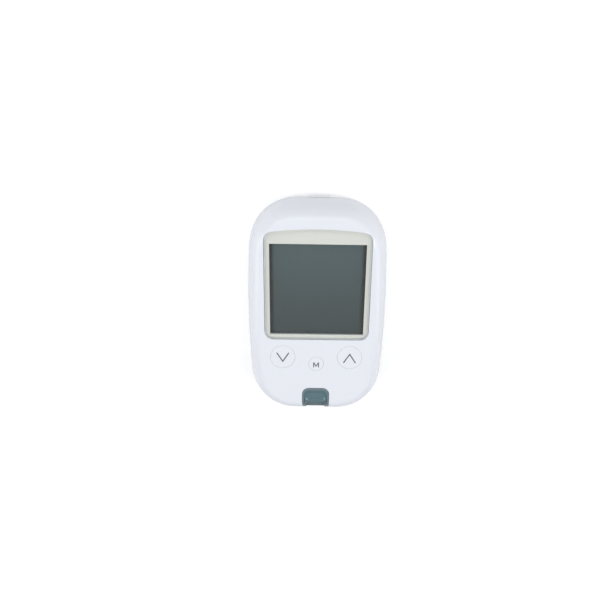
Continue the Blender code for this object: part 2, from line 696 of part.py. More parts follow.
def make_set_button():
    y = SET_BUTTON_Y
    switch_bottom = BOARD_BOTTOM - FIT - SET_SWITCH_HEIGHT
    stem_bottom = switch_bottom - SET_TRAVEL - FIT
    top = stem_bottom - FIT
    flange_bottom = WELL_TOP + FIT
    profile = (
        (SET_BUTTON_RADIUS, DOOR_BACK + 2 * FIT),
        (SET_BUTTON_RADIUS, flange_bottom),
        (SET_FLANGE_RADIUS, flange_bottom),
        (SET_FLANGE_RADIUS, flange_bottom + SET_FLANGE),
        (SET_BUTTON_RADIUS, flange_bottom + SET_FLANGE),
        (SET_BUTTON_RADIUS, top),
    )
    button = turned(0, y, profile, SMALL_SEGMENTS)
    set_axis(piece("set_button", button, TEAL), 0, y, top)
    x_span = (-SWITCH_HALF_SIDE, SWITCH_HALF_SIDE)
    y_span = (y - SWITCH_HALF_SIDE, y + SWITCH_HALF_SIDE)
    housing = block(x_span, y_span, (switch_bottom, BOARD_BOTTOM - FIT))
    ceiling = BOARD_BOTTOM - 2 * FIT
    cut(housing, rod(0, y, STEM_RADIUS + FIT, switch_bottom - OVERRUN, ceiling, SMALL_SEGMENTS))
    piece("set_switch", housing, BLACK)
    stem = rod(0, y, STEM_RADIUS, stem_bottom, ceiling - SET_TRAVEL - FIT, SMALL_SEGMENTS)
    set_axis(piece("set_switch_stem", stem, FRAME), 0, y, stem_bottom)


# Strip port and ejector


def ejector_outline(grow, travel):
    half = PORT_WIDTH / 2 - PORT_SIDE_RIM + grow
    y_span = (EJECTOR_BOTTOM - travel - grow, EJECTOR_TOP + grow)
    radius = EJECTOR_CORNER_RADIUS + grow
    return rounded_rectangle((-half, half), y_span, radius, radius)


def trough_span():
    """Where the ejector's slide and leg run along the port, at rest and pushed home."""
    return (LEG_BOTTOM - EJECTOR_TRAVEL - FIT, PORT_TOP + OVERRUN)


def make_strip_port():
    port = prism(port_outline(0), HOLDER_BOTTOM, FACE_Z + OVERRUN)
    combine(port, front_solid(), "INTERSECT")
    slot_half = SLOT_WIDTH / 2
    beyond = -HALF_LENGTH - 2 * OVERRUN
    slot_z = (SLOT_BOTTOM, SLOT_TOP)
    cut(port, block((-slot_half, slot_half), (beyond, PORT_TOP + OVERRUN), slot_z))
    mouth = rounded_rectangle((-slot_half, slot_half), (beyond, MOUTH_TOP), OVERRUN, MOUTH_CORNER_RADIUS)
    cut(port, prism(mouth, SLOT_BOTTOM, FACE_Z + OVERRUN))
    recess = ejector_outline(FIT, EJECTOR_TRAVEL)
    cut(port, prism(recess, EJECTOR_BASE - FIT, FACE_Z + OVERRUN))
    trough_half = SLIDE_WIDTH / 2 + FIT
    trough_z = (SLOT_TOP + SLOT_ROOF, EJECTOR_BASE)
    cut(port, block((-trough_half, trough_half), trough_span(), trough_z))
    return piece("strip_port", port, TEAL)


def make_ejector():
    pad = prism(ejector_outline(0, 0), EJECTOR_BASE, FACE_Z)
    half = PORT_WIDTH / 2 - PORT_RIM - PORT_SIDE_RIM
    dish_radius = (half**2 + EJECTOR_DISH**2) / (2 * EJECTOR_DISH)
    dish_half = half - EJECTOR_DISH
    dish = rod(0, 0, dish_radius, 0, 2 * dish_half, 2 * ROUND_SEGMENTS)
    lay_along_x(dish, -dish_half, EJECTOR_MIDDLE, FACE_Z - EJECTOR_DISH + dish_radius)
    cut(pad, dish)
    ridge_y = EJECTOR_BOTTOM + RIDGE_INSET
    ridge_x = (-RIDGE_WIDTH / 2, RIDGE_WIDTH / 2)
    ridge_span = (ridge_y, ridge_y + RIDGE_DEPTH)
    join(pad, block(ridge_x, ridge_span, (FACE_Z - EJECTOR_THICKNESS / 2, FACE_Z)))
    leg_half = PUSHER_WIDTH / 2
    leg_z = (SLIDE_TOP + FIT, EJECTOR_BASE + FIT)
    join(pad, block((-leg_half, leg_half), (LEG_BOTTOM, EJECTOR_MIDDLE), leg_z))
    set_axis(piece("ejector_button", pad, TEAL), 0, EJECTOR_BOTTOM, EJECTOR_BASE)
    connector_top = PORT_TOP + STRIP_CONNECTOR_LENGTH + FIT
    slide_half = SLIDE_WIDTH / 2
    slide_end = connector_top + FIT + PUSHER_THICKNESS
    slide_z = (SLIDE_BOTTOM, SLIDE_TOP)
    slide = block((-slide_half, slide_half), (LEG_BOTTOM, slide_end), slide_z)
    pusher_z = (SLOT_BOTTOM + FIT, SLIDE_BOTTOM + FIT)
    join(slide, block((-leg_half, leg_half), (slide_end - PUSHER_THICKNESS, slide_end), pusher_z))
    set_axis(piece("ejector_slide", slide, FRAME), 0, EJECTOR_BOTTOM, SLIDE_BOTTOM)


def make_strip_connector():
    half = STRIP_CONNECTOR_WIDTH / 2
    low = PORT_TOP + FIT
    high = low + STRIP_CONNECTOR_LENGTH
    top = SLOT_TOP + SLOT_ROOF
    body = block((-half, half), (low, high), (HOLDER_BOTTOM, top))
    slot_half = SLOT_WIDTH / 2
    slot_y = (low - OVERRUN, high - STRIP_STOP)
    cut(body, block((-slot_half, slot_half), slot_y, (SLOT_BOTTOM, SLOT_TOP)))
    slit_half = PUSHER_WIDTH / 2 + FIT
    slit_y = (high - EJECTOR_TRAVEL - PUSHER_THICKNESS, high + OVERRUN)
    cut(body, block((-slit_half, slit_half), slit_y, (SLOT_BOTTOM, top + OVERRUN)))
    piece("strip_connector", body, BLACK, smooth=False)
    for number, x in enumerate(CONTACT_PLACES, 1):
        x_span = (x - CONTACT_WIDTH / 2, x + CONTACT_WIDTH / 2)
        start = high + FIT
        rise = (HOLDER_BOTTOM, HOLDER_BOTTOM + CONTACT_HEIGHT)
        contact = block(x_span, (start, start + CONTACT_THICKNESS), rise)
        foot_z = (HOLDER_BOTTOM, HOLDER_BOTTOM + CONTACT_THICKNESS)
        join(contact, block(x_span, (start, start + CONTACT_FOOT), foot_z))
        piece(f"strip_contact_{number}", contact, BRASS, smooth=False)


# Cells, their contacts and the door


def make_cell(number, x, start, turned_round):
    """A cell along Y, with its nub towards +Y unless it is turned round."""
    length = CELL_LENGTH + NUB_LENGTH
    rim = NUB_LENGTH / 2
    profile = (
        (CELL_RADIUS - rim, 0),
        (CELL_RADIUS, rim),
        (CELL_RADIUS, CELL_LENGTH - rim),
        (CELL_RADIUS - rim, CELL_LENGTH),
        (NUB_RADIUS, CELL_LENGTH),
        (NUB_RADIUS, length),
    )
    cell = turned(0, 0, profile)
    if turned_round:
        flip = Matrix.Translation((0, 0, length)) @ Matrix.Rotation(math.pi, 4, "X")
        cell.data.transform(flip)
    return piece(f"battery_{number}", lay_along_y(cell, x, start, CELL_Z), CELL)


def make_spring(number, x, start, widens):
    """A wire coil between a cell and its contact, wide at the contact."""
    steps = SPRING_TURNS * SMALL_SEGMENTS
    line = bpy.data.curves.new("wire", "CURVE")
    line.dimensions = "3D"
    line.bevel_depth = SPRING_WIRE_RADIUS
    line.bevel_resolution = 1
    line.use_fill_caps = True
    wire = line.splines.new("POLY")
    wire.points.add(steps)
    reach = SPRING_LENGTH - 2 * SPRING_WIRE_RADIUS
    for step, point in enumerate(wire.points):
        share = step / steps
        narrow = 1 - share if widens else share
        radius = SPRING_RADIUS + (SPRING_TIP_RADIUS - SPRING_RADIUS) * narrow
        turn = 2 * math.pi * SPRING_TURNS * share
        y = start + SPRING_WIRE_RADIUS + reach * share
        point.co = (x + radius * math.cos(turn), y, CELL_Z + radius * math.sin(turn), 1)
    coil = bpy.data.objects.new("coil", line)
    bpy.context.scene.collection.objects.link(coil)
    graph = bpy.context.evaluated_depsgraph_get()
    data = bpy.data.meshes.new_from_object(coil.evaluated_get(graph))
    bpy.data.objects.remove(coil)
    solid = bmesh.new()
    solid.from_mesh(data)
    bmesh.ops.remove_doubles(solid, verts=solid.verts[:], dist=SPRING_WIRE_RADIUS / 100)
    return piece(f"battery_spring_{number}", shape(solid), METAL)


def make_contact(name, x_span, y):
    z_span = (CELL_Z - PLATE_HEIGHT / 2, CELL_Z + PLATE_HEIGHT / 2)
    plate = block(x_span, (y, y + PLATE_THICKNESS), z_span)
    return piece(name, plate, METAL, smooth=False)


def make_cells():
    low_plate = BAY_BOTTOM + FIT
    high_plate = BAY_TOP - FIT - PLATE_THICKNESS
    low_room = low_plate + PLATE_THICKNESS + FIT
    make_cell(1, -CELL_X, low_room + SPRING_LENGTH + FIT, False)
    make_cell(2, CELL_X, low_room, True)
    make_spring(1, -CELL_X, low_room, False)
    make_spring(2, CELL_X, high_plate - FIT - SPRING_LENGTH, True)
    half = PLATE_WIDTH / 2
    make_contact("contact_bridge", (-CELL_X - half, CELL_X + half), low_plate)
    make_contact("contact_plus", (-CELL_X - half, -CELL_X + half), high_plate)
    make_contact("contact_minus", (CELL_X - half, CELL_X + half), high_plate)


def make_battery_door():
    door = prism(door_outline(0), DOOR_RECESS, DOOR_BACK)
    foot = DOOR_BACK - DOOR_THICKNESS / 2
    toe_bottom = DOOR_BACK + FIT
    toe_top = toe_bottom + HOOK_HEIGHT
    heel = DOOR_BOTTOM + FIT
    for x_span in hook_spans():
        join(door, block(x_span, (heel, heel + HOOK_FOOT), (foot, toe_top)))
        join(door, block(x_span, (DOOR_BOTTOM - HOOK_REACH, heel + FIT), (toe_bottom, toe_top)))
    latch_half = LATCH_WIDTH / 2
    latch_end = DOOR_TOP - LATCH_THICKNESS
    latch_y = (latch_end - LATCH_THICKNESS, latch_end)
    join(door, block((-latch_half, latch_half), latch_y, (foot, DOOR_BACK + LATCH_HEIGHT)))
    return set_axis(piece("battery_door", door, WHITE), 0, DOOR_BOTTOM, DOOR_RECESS)


# Circuit board and its components


def make_board():
    board = prism(body_outline(BOARD_INSET), BOARD_BOTTOM, BOARD_TOP)
    for x, y in SCREW_PLACES:
        hole = rod(x, y, POST_RADIUS + FIT, BOARD_BOTTOM - OVERRUN, BOARD_TOP + OVERRUN, SMALL_SEGMENTS)
        cut(board, hole)
    piece("circuit_board", board, BOARD)
    chips = (
        ("processor_chip", PROCESSOR_SIZE, PROCESSOR_PLACE),
        ("memory_chip", MEMORY_SIZE, MEMORY_PLACE),
    )
    for name, (width, length, height), (x, above) in chips:
        y = DISPLAY_Y + above
        x_span = (x - width / 2, x + width / 2)
        y_span = (y - length / 2, y + length / 2)
        chip = block(x_span, y_span, (HOLDER_BOTTOM, HOLDER_BOTTOM + height))
        piece(name, chip, CHIP, smooth=False)
    x, above = CRYSTAL_PLACE
    crystal = rod(0, 0, CRYSTAL_RADIUS, 0, CRYSTAL_LENGTH, SMALL_SEGMENTS)
    start = x - CRYSTAL_LENGTH / 2
    lay_along_x(crystal, start, DISPLAY_Y + above, HOLDER_BOTTOM + CRYSTAL_RADIUS)
    piece("crystal", crystal, METAL)
    top = BOARD_BOTTOM - FIT
    x = BLOCK_HALF_WIDTH + BUZZER_GAP + BUZZER_RADIUS
    piece("buzzer", rod(x, 0, BUZZER_RADIUS, top - BUZZER_HEIGHT, top), BLACK)


# Data port


def make_data_port():
    half = PORT_COVER_WIDTH / 2
    rise = PORT_COVER_HEIGHT / 2
    left, right = PORT_COVER_OFFSET - half, PORT_COVER_OFFSET + half
    outer = HALF_LENGTH + PORT_COVER_STAND
    inner = outer - PORT_COVER_DEPTH
    z_span = (PORT_AXIS_Z - rise, PORT_AXIS_Z + rise)
    corner = PORT_COVER_ROUNDING
    slope = PORT_COVER_STAND * 2
    outline = (
        (left, inner),
        (right, inner),
        (right, outer - corner),
        (right - corner, outer),
        (left + slope, outer),
        (left, outer - corner * 2),
    )
    flap = prism(outline, *z_span)
    seam = PARTING_HEIGHT - SEAM / 2
    form = loft(list(reversed(edge_rings(seam, 0, -PORT_COVER_STAND, EDGE_INSET, BACK_STEPS))))
    combine(flap, form, "INTERSECT")
    set_axis(piece("data_port_cover", flap, RUBBER), left + FIT, outer - corner * 2, PORT_AXIS_Z)
    flange_y = (inner - FIT - JACK_FLANGE, inner - FIT)
    jack = block((left, right), flange_y, z_span)
    x_span = (PORT_COVER_OFFSET - JACK_WIDTH / 2, PORT_COVER_OFFSET + JACK_WIDTH / 2)
    back = flange_y[0] - JACK_LENGTH
    barrel_z = (PORT_AXIS_Z - JACK_HEIGHT / 2, PORT_AXIS_Z + JACK_HEIGHT / 2)
    join(jack, block(x_span, (back, flange_y[1] - JACK_FLANGE / 2), barrel_z))
    riser_z = (PORT_AXIS_Z, BOARD_BOTTOM - FIT)
    join(jack, block(x_span, (back, back + JACK_RISER_LENGTH), riser_z))
    bore = rod(0, 0, JACK_BORE_RADIUS, 0, JACK_BORE_DEPTH + OVERRUN, SMALL_SEGMENTS)
    cut(jack, lay_along_y(bore, PORT_COVER_OFFSET, flange_y[1] - JACK_BORE_DEPTH, PORT_AXIS_Z))
    piece("data_jack", jack, BLACK)


# Screws and label


def make_screw(number, x, y):
    head_bottom = SCREW_HEAD_DEPTH
    head_top = head_bottom + SCREW_HEAD_HEIGHT
    profile = (
        (SCREW_HEAD_RADIUS, head_bottom),
        (SCREW_HEAD_RADIUS, head_top),
        (SCREW_RADIUS, head_top),
        (SCREW_RADIUS, head_top + SCREW_LENGTH),
    )
    screw = turned(x, y, profile, SMALL_SEGMENTS)
    long, narrow = CROSS_LENGTH / 2, CROSS_WIDTH / 2
    z_span = (head_bottom - OVERRUN, head_bottom + CROSS_DEPTH)
    cut(screw, block((x - long, x + long), (y - narrow, y + narrow), z_span))
    cut(screw, block((x - narrow, x + narrow), (y - long, y + long), z_span))
    piece(f"cover_screw_{number}", screw, METAL)


def label_spans(grow):
    half = TOP_SCREW_X - SCREW_HEAD_RADIUS - LABEL_SIDE_GAP
    low = DOOR_TOP + LABEL_GAP + FINGER_DEPTH
    high = HALF_LENGTH - EDGE_INSET - LABEL_GAP
    return (-half - grow, half + grow), (low - grow, high + grow)


def make_label():
    x_span, y_span = label_spans(0)
    label = block(x_span, y_span, (LABEL_RECESS, LABEL_RECESS + LABEL_THICKNESS))
    piece("rating_label", label, LABEL, smooth=False)


def clear_scene():
    for item in list(bpy.data.objects):
        bpy.data.objects.remove(item)


def gather_under_origin():
    """Parents all pieces to one empty, placed so that the bounding box is centred on the origin."""
    meter = bpy.data.objects.new("meter", None)
    pieces = list(bpy.context.scene.collection.objects)
    bpy.context.scene.collection.objects.link(meter)
    meter.location = (0, -PORT_COVER_STAND / 2, 0)
    for item in pieces:
        item.parent = meter


def main():
    clear_scene()
    make_front_cover()
    make_rear_cover()
    make_display()
    for name, (x, y, radius) in KEYS.items():
        make_key(name, x, y, radius)
    make_set_button()
    make_strip_port()
    make_ejector()
    make_strip_connector()
    make_cells()
    make_battery_door()
    make_board()
    make_data_port()
    for number, (x, y) in enumerate(SCREW_PLACES, 1):
        make_screw(number, x, y)
    make_label()
    gather_under_origin()


main()
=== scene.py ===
"""The looks of a blood glucose meter that lies on its back on a pale floor.

+X is to the right and +Y towards the data port end as the display is read, +Z points out of the display.
All lengths are in metres.
"""

import math

import bmesh
import bpy
from mathutils import Matrix, Vector
from mathutils.geometry import intersect_sphere_sphere_2d


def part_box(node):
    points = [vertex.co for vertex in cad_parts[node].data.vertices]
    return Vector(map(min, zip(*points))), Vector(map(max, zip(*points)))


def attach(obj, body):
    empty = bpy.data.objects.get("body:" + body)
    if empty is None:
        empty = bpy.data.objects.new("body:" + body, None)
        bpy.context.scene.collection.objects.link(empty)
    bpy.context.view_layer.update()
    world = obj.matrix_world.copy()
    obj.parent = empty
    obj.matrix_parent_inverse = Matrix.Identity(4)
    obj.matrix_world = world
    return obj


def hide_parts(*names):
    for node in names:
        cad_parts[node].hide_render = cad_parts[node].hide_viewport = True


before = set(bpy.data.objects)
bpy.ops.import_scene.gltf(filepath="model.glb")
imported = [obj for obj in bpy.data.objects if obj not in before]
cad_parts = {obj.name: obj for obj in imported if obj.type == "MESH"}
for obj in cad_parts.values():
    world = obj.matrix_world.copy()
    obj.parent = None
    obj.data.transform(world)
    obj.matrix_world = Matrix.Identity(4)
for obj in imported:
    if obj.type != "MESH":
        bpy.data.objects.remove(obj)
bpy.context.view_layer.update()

# Places taken from the frame
FRONT_LOW, FRONT_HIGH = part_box("front_cover")
LENS_LOW, LENS_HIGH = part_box("display_window")
BORDER_LOW, BORDER_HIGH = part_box("window_border")
PANEL_LOW, PANEL_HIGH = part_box("display_panel")
PORT_LOW, PORT_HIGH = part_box("strip_port")
EJECTOR_LOW, EJECTOR_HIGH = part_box("ejector_button")
SLIDE_LOW, SLIDE_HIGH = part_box("ejector_slide")
DOOR_LOW, DOOR_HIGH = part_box("battery_door")
FLAP_LOW, FLAP_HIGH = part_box("data_port_cover")
JACK_LOW, JACK_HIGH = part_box("data_jack")
LABEL_LOW, LABEL_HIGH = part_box("rating_label")

HALF_WIDTH = FRONT_HIGH.x
HALF_LENGTH = (FRONT_HIGH.y - FRONT_LOW.y) / 2
BODY_Y = (FRONT_HIGH.y + FRONT_LOW.y) / 2
FACE_Z = FRONT_HIGH.z
TOP_END = BODY_Y + HALF_LENGTH
LOW_END = BODY_Y - HALF_LENGTH

# Clearances
FIT = 0.0003
OVERRUN = 0.001

# Covers
WALL = 0.0018
CORNER_RADIUS = 0.0204
SIDE_BOW_RADIUS = 0.46
END_BOW_RADIUS = 1.5
EDGE_INSET = 0.007
EDGE_POWER = 2.4
INSIDE_INSET = EDGE_INSET - WALL / 2
SEAM_WIDTH = 0.0002
SEAM_MIDDLE = FRONT_LOW.z - FIT / 2
FRONT_BASE = SEAM_MIDDLE + SEAM_WIDTH / 2
REAR_RIM = SEAM_MIDDLE - SEAM_WIDTH / 2
SEAM_ROUNDING = 0.00025
LIP_THICKNESS = 0.0008
LIP_TOP = SEAM_MIDDLE + 0.0015
FACE_INSIDE = FACE_Z - WALL
RIM_ROUNDING = 0.00025
POST_RADIUS = 0.0029
BOSS_RADIUS = 0.0033
BOSS_TOP = 0.0080
SHANK_HOLE_RADIUS = 0.0011

# Window
WINDOW_CROWN = 0.0017
WINDOW_CORNER_RADIUS = 0.0035
WINDOW_RIM = 0.0012
WINDOW_GAP = 0.00019
LENS_ROUNDING = 0.0006
LENS_FOOT_ROUNDING = 0.0001
PANEL_ROUNDING = 0.00015
LEDGE_TOP = BORDER_LOW.z - FIT
LEDGE_BOTTOM = PANEL_HIGH.z + FIT
PRINT_THICKNESS = 0.0001
CLEAR_HALF_WIDTH = 0.02015
CLEAR_LOW = LENS_LOW.y + 0.0017
CLEAR_HIGH = CLEAR_LOW + 0.0407

# Keys: name, radius of the cap
KEYS = {"down": 0.0053, "mode": 0.0032, "up": 0.0053}
KEY_GAP = 0.00005
KEY_GROWTH = 0.00008
KEY_ROUNDING = 0.00012
KEY_SINK = 0.00003
KEY_FLANGE = 0.0010
PLUNGER_RADIUS = 0.0016
INK_THICKNESS = 0.00004
STROKE = 0.0005
CHEVRON_HALF_WIDTH = 0.00265
CHEVRON_HALF_HEIGHT = 0.00208
LETTER_HALF_WIDTH = 0.00126
LETTER_HALF_HEIGHT = 0.00122
LETTER_STROKE = 0.00042
LETTER_DIP = 0.85
LETTER_DIAGONAL = 0.0008
LEGEND_DROP = {"down": 0.00008, "mode": 0.00048, "up": 0.00047}

# Strip port and ejector
PORT_HALF_WIDTH = PORT_HIGH.x
PORT_TOP = PORT_HIGH.y
PORT_CORNER_RADIUS = 0.0029
PORT_GAP = 0.00015
SLOT_HALF_WIDTH = 0.0041
SLOT_BOTTOM = 0.0186
SLOT_TOP = 0.0202
MOUTH_TOP = LOW_END + 0.0053
MOUTH_CORNER_RADIUS = 0.0009
EJECTOR_CORNER_RADIUS = 0.0023
EJECTOR_TRAVEL = 0.0022
EJECTOR_BASE = FACE_Z - 0.0020
EJECTOR_DISH = 0.0005
EJECTOR_ROUNDING = 0.00015
EJECTOR_GAP = 0.00006
DISH_RIM = 0.0002
DISH_SLOPE = 0.0013
DISH_EASE = 0.2
DISH_STEPS = 12
RIDGE_HALF_WIDTH = 0.0022
RIDGE_RADIUS = 0.00028
RIDGE_RISE = 0.0002
RIDGE_INSET = 0.0017
LEG_HALF_WIDTH = 0.001

# Battery door and the bay behind it
DOOR_RECESS = 0.0002
DOOR_BACK = 0.0018
DOOR_BOTTOM = DOOR_LOW.y + 0.0010
DOOR_CORNER_RADIUS = 0.0020
DOOR_FRAME = 0.0010
DOOR_ROUNDING = 0.0003
HOOK_PLACES = (-0.0070, 0.0070)
HOOK_WIDTH = 0.0040
HOOK_FOOT = 0.0012
HOOK_REACH = 0.0010
HOOK_ZONE = 0.0030
HOOK_HEIGHT = 0.0015
HOOK_ROOM = 0.0007
LATCH_ZONE = 0.0030
LATCH_WIDTH = 0.0080
LATCH_HEIGHT = 0.0022
LATCH_THICKNESS = 0.0008
FINGER_RADIUS = 0.0050
FINGER_DEPTH = 0.0010
GRIP_COUNT = 5
GRIP_PITCH = 0.0012
GRIP_HALF_WIDTH = 0.0048
GRIP_RADIUS = 0.00035
GRIP_RISE = 0.00014
WELL_HEIGHT = 0.0069
BAY_WALL = 0.0012
BAY_ROOF = 0.0010
SET_HOLE_RADIUS = 0.0018

# Cells and springs
CELL_RIM = 0.0004
NUB_RADIUS = 0.0019
NUB_LENGTH = 0.0008
WIRE_RADIUS = 0.0003
SPRING_WIDE = 0.0032
SPRING_NARROW = 0.0024
SPRING_TURNS = 3

# Data port
FLAP_STAND = FLAP_HIGH.y - TOP_END
FLAP_SLOPE = 0.0016
FLAP_CORNER = 0.0008
FLAP_ROUNDING = 0.0002
FLAP_GAP = 0.0001
JACK_FLANGE = 0.0008
JACK_HALF_WIDTH = 0.0035
JACK_HALF_HEIGHT = 0.0018
JACK_RISER_LENGTH = 0.0050
JACK_BORE_RADIUS = 0.0013
JACK_BORE_DEPTH = 0.0080
JACK_ROUNDING = 0.00015

# Rating label
LABEL_CORNER_RADIUS = 0.0006

# Screws
SCREW_HEAD_RADIUS = 0.0020
SCREW_HEAD_HEIGHT = 0.0015
SCREW_SHANK_RADIUS = 0.0008
CROSS_HALF_WIDTH = 0.00028
CROSS_HALF_LENGTH = 0.0011
CROSS_DEPTH = 0.0007

# Steps of round shapes
CORNER_STEPS = 18
BOW_STEPS = 6
EDGE_STEPS = 26
INSIDE_STEPS = 10
SMALL_CORNER_STEPS = 7
ROUNDING_STEPS = 4
BEVEL_STEPS = 3
ROUND_STEPS = 72
SMALL_ROUND_STEPS = 32
FLARE_END = math.radians(75)
SMOOTH_ANGLE = math.radians(32)
FLAT_FACE_WEIGHT = 90
MITRE_LIMIT = 0.3

# Camera, found from the outline in the photograph, which is 600 pixels wide
PHOTO_WIDTH = 600
CAMERA_DISTANCE = 0.285
CAMERA_TILT = 0.38266
CAMERA_YAW = -0.00767
CAMERA_ROLL = 0.01681
FOCAL_PIXELS = 628.27
TARGET_PIXEL = (316.81, 302.08)
TARGET_Z = 0.0064
SENSOR_WIDTH = 36


# Outlines


def arc(x, y, radius, start, end, steps):
    turns = [start + (end - start) * step / steps for step in range(steps + 1)]
    return [(x + radius * math.cos(turn), y + radius * math.sin(turn)) for turn in turns]


def circle(x, y, radius, steps=ROUND_STEPS):
    return arc(x, y, radius, 0, 2 * math.pi, steps)[:-1]


def at_height(points, z):
    return [Vector((x, y, z)) for x, y in points]


def body_outline(inset):
    """The meter seen from above: bowed sides and ends with round corners, drawn in evenly."""
    side = Vector((HALF_WIDTH - SIDE_BOW_RADIUS, 0))
    end = Vector((0, HALF_LENGTH - END_BOW_RADIUS))
    found = intersect_sphere_sphere_2d(
        side, SIDE_BOW_RADIUS - CORNER_RADIUS, end, END_BOW_RADIUS - CORNER_RADIUS
    )
    corner = max(found, key=lambda point: point.x + point.y)
    side_turn = math.atan2(corner.y - side.y, corner.x - side.x)
    end_turn = math.atan2(corner.y - end.y, corner.x - end.x)
    quarter = arc(*side, SIDE_BOW_RADIUS - inset, 0, side_turn, BOW_STEPS)
    quarter += arc(*corner, CORNER_RADIUS - inset, side_turn, end_turn, CORNER_STEPS)[1:]
    quarter += arc(*end, END_BOW_RADIUS - inset, end_turn, math.pi / 2, BOW_STEPS)[1:]
    upper = quarter[:-1] + [(-x, y) for x, y in reversed(quarter)]
    around = upper[:-1] + [(-x, -y) for x, y in upper[:-1]]
    return [(x, y + BODY_Y) for x, y in around]


def rounded_rectangle(x_span, y_span, low_radius, high_radius):
    quarter = math.pi / 2
    points = []
    corners = (
        (x_span[1], y_span[1], -1, -1, high_radius, 0),
        (x_span[0], y_span[1], 1, -1, high_radius, 1),
        (x_span[0], y_span[0], 1, 1, low_radius, 2),
        (x_span[1], y_span[0], -1, 1, low_radius, 3),
    )
    for x, y, inward_x, inward_y, radius, turn in corners:
        centre = (x + inward_x * radius, y + inward_y * radius)
        points += arc(*centre, radius, turn * quarter, (turn + 1) * quarter, SMALL_CORNER_STEPS)
    return points


def window_outline(grow):
    """The window: straight sides and foot, round corners and a slightly crowned top."""
    half = LENS_HIGH.x + grow
    radius = WINDOW_CORNER_RADIUS + grow
    low, high = LENS_LOW.y - grow, LENS_HIGH.y + grow
    crown_radius = (half**2 + WINDOW_CROWN**2) / (2 * WINDOW_CROWN)
    crown_centre = high - crown_radius
    corner_x = half - radius
    corner_y = crown_centre + math.sqrt((crown_radius - radius) ** 2 - corner_x**2)
    turn = math.atan2(corner_y - crown_centre, corner_x)
    steps = SMALL_CORNER_STEPS
    points = arc(corner_x, corner_y, radius, 0, turn, steps)
    points += arc(0, crown_centre, crown_radius, turn, math.pi - turn, 3 * steps)[1:]
    points += arc(-corner_x, corner_y, radius, math.pi - turn, math.pi, steps)[1:]
    points += arc(-corner_x, low + radius, radius, math.pi, 1.5 * math.pi, steps)
    points += arc(corner_x, low + radius, radius, 1.5 * math.pi, 2 * math.pi, steps)
    return points


def port_outline(grow):
    half = PORT_HALF_WIDTH + grow
    y_span = (LOW_END - OVERRUN - grow, PORT_TOP + grow)
    return rounded_rectangle((-half, half), y_span, OVERRUN, PORT_CORNER_RADIUS + grow)


def ejector_outline(grow, travel=0.0):
    half = EJECTOR_HIGH.x + grow
    radius = EJECTOR_CORNER_RADIUS + grow
    y_span = (EJECTOR_LOW.y - travel - grow, EJECTOR_HIGH.y + grow)
    return rounded_rectangle((-half, half), y_span, radius, radius)


def mouth_outline():
    x_span = (-SLOT_HALF_WIDTH, SLOT_HALF_WIDTH)
    y_span = (LOW_END - 2 * OVERRUN, MOUTH_TOP)
    return rounded_rectangle(x_span, y_span, OVERRUN, MOUTH_CORNER_RADIUS)


def door_outline(grow):
    half = DOOR_HIGH.x + grow
    radius = DOOR_CORNER_RADIUS + grow
    y_span = (DOOR_BOTTOM - grow, DOOR_HIGH.y + grow)
    return rounded_rectangle((-half, half), y_span, radius, radius)


def label_outline(grow):
    x_span = (LABEL_LOW.x - grow, LABEL_HIGH.x + grow)
    y_span = (LABEL_LOW.y - grow, LABEL_HIGH.y + grow)
    radius = LABEL_CORNER_RADIUS + grow
    return rounded_rectangle(x_span, y_span, radius, radius)


# Modelling


def alone(item):
    """Leaves this object alone selected and active."""
    bpy.ops.object.select_all(action="DESELECT")
    item.select_set(True)
    bpy.context.view_layer.objects.active = item


def lofted(name, rings):
    """A closed solid through rings of points: a filled circle, extruded from ring to ring."""
    bpy.ops.object.select_all(action="DESELECT")
    bpy.ops.mesh.primitive_circle_add(vertices=len(rings[0]), radius=HALF_WIDTH, fill_type="NGON")
    item = bpy.context.object
    item.name = name
    order = item.data.attributes.new("order", "INT", "POINT")
    order.data.foreach_set("value", range(len(rings[0])))
    for vertex, point in zip(item.data.vertices, rings[0]):
        vertex.co = point
    bpy.ops.object.mode_set(mode="EDIT")
    bpy.ops.mesh.select_all(action="SELECT")
    for ring in rings[1:]:
        bpy.ops.mesh.extrude_region_move()
        shell = bmesh.from_edit_mesh(item.data)
        place = shell.verts.layers.int["order"]
        for corner in shell.verts:
            if corner.select:
                corner.co = ring[corner[place]]
        bmesh.update_edit_mesh(item.data)
    bpy.ops.mesh.select_all(action="SELECT")
    bpy.ops.mesh.normals_make_consistent(inside=False)
    bpy.ops.object.mode_set(mode="OBJECT")
    item.data.attributes.remove(item.data.attributes["order"])
    return item


def edge_curve(radius, end=math.pi / 2):
    """The rounding of an edge as (inset, drop) pairs, from the side to the face."""
    turns = [end * step / ROUNDING_STEPS for step in range(ROUNDING_STEPS + 1)]
    return [(radius * (1 - math.cos(turn)), radius * (1 - math.sin(turn))) for turn in turns]


def slab(name, outline, low, high, low_rounding=0.0, high_rounding=0.0):
    """A plate with its own outline and rounded lower and upper edges."""
    rings = []
    if low_rounding:
        rings += [at_height(outline(-inset), low + rise) for rise, inset in edge_curve(low_rounding)[:-1]]
    rings += [at_height(outline(0), z) for z in (low + low_rounding, high - high_rounding)]
    if high_rounding:
        rings += [at_height(outline(-inset), high - drop) for inset, drop in edge_curve(high_rounding)[1:]]
    return lofted(name, rings)


def flared_cutter(outline, deep, face, rounding):
    """Cuts a pocket whose rim is rounded where it meets a level face."""
    outward = 1 if face > deep else -1
    rings = [at_height(outline(0), deep)]
    for inset, drop in edge_curve(rounding, FLARE_END):
        rings.append(at_height(outline(inset), face - outward * drop))
    spread = rounding * (1 - math.cos(FLARE_END)) + rounding * math.tan(FLARE_END)
    rings.append(at_height(outline(spread), face + outward * rounding * math.sin(FLARE_END)))
    return lofted("cutter", rings)


def prism(outline, low, high):
    return lofted("cutter", [at_height(outline, low), at_height(outline, high)])


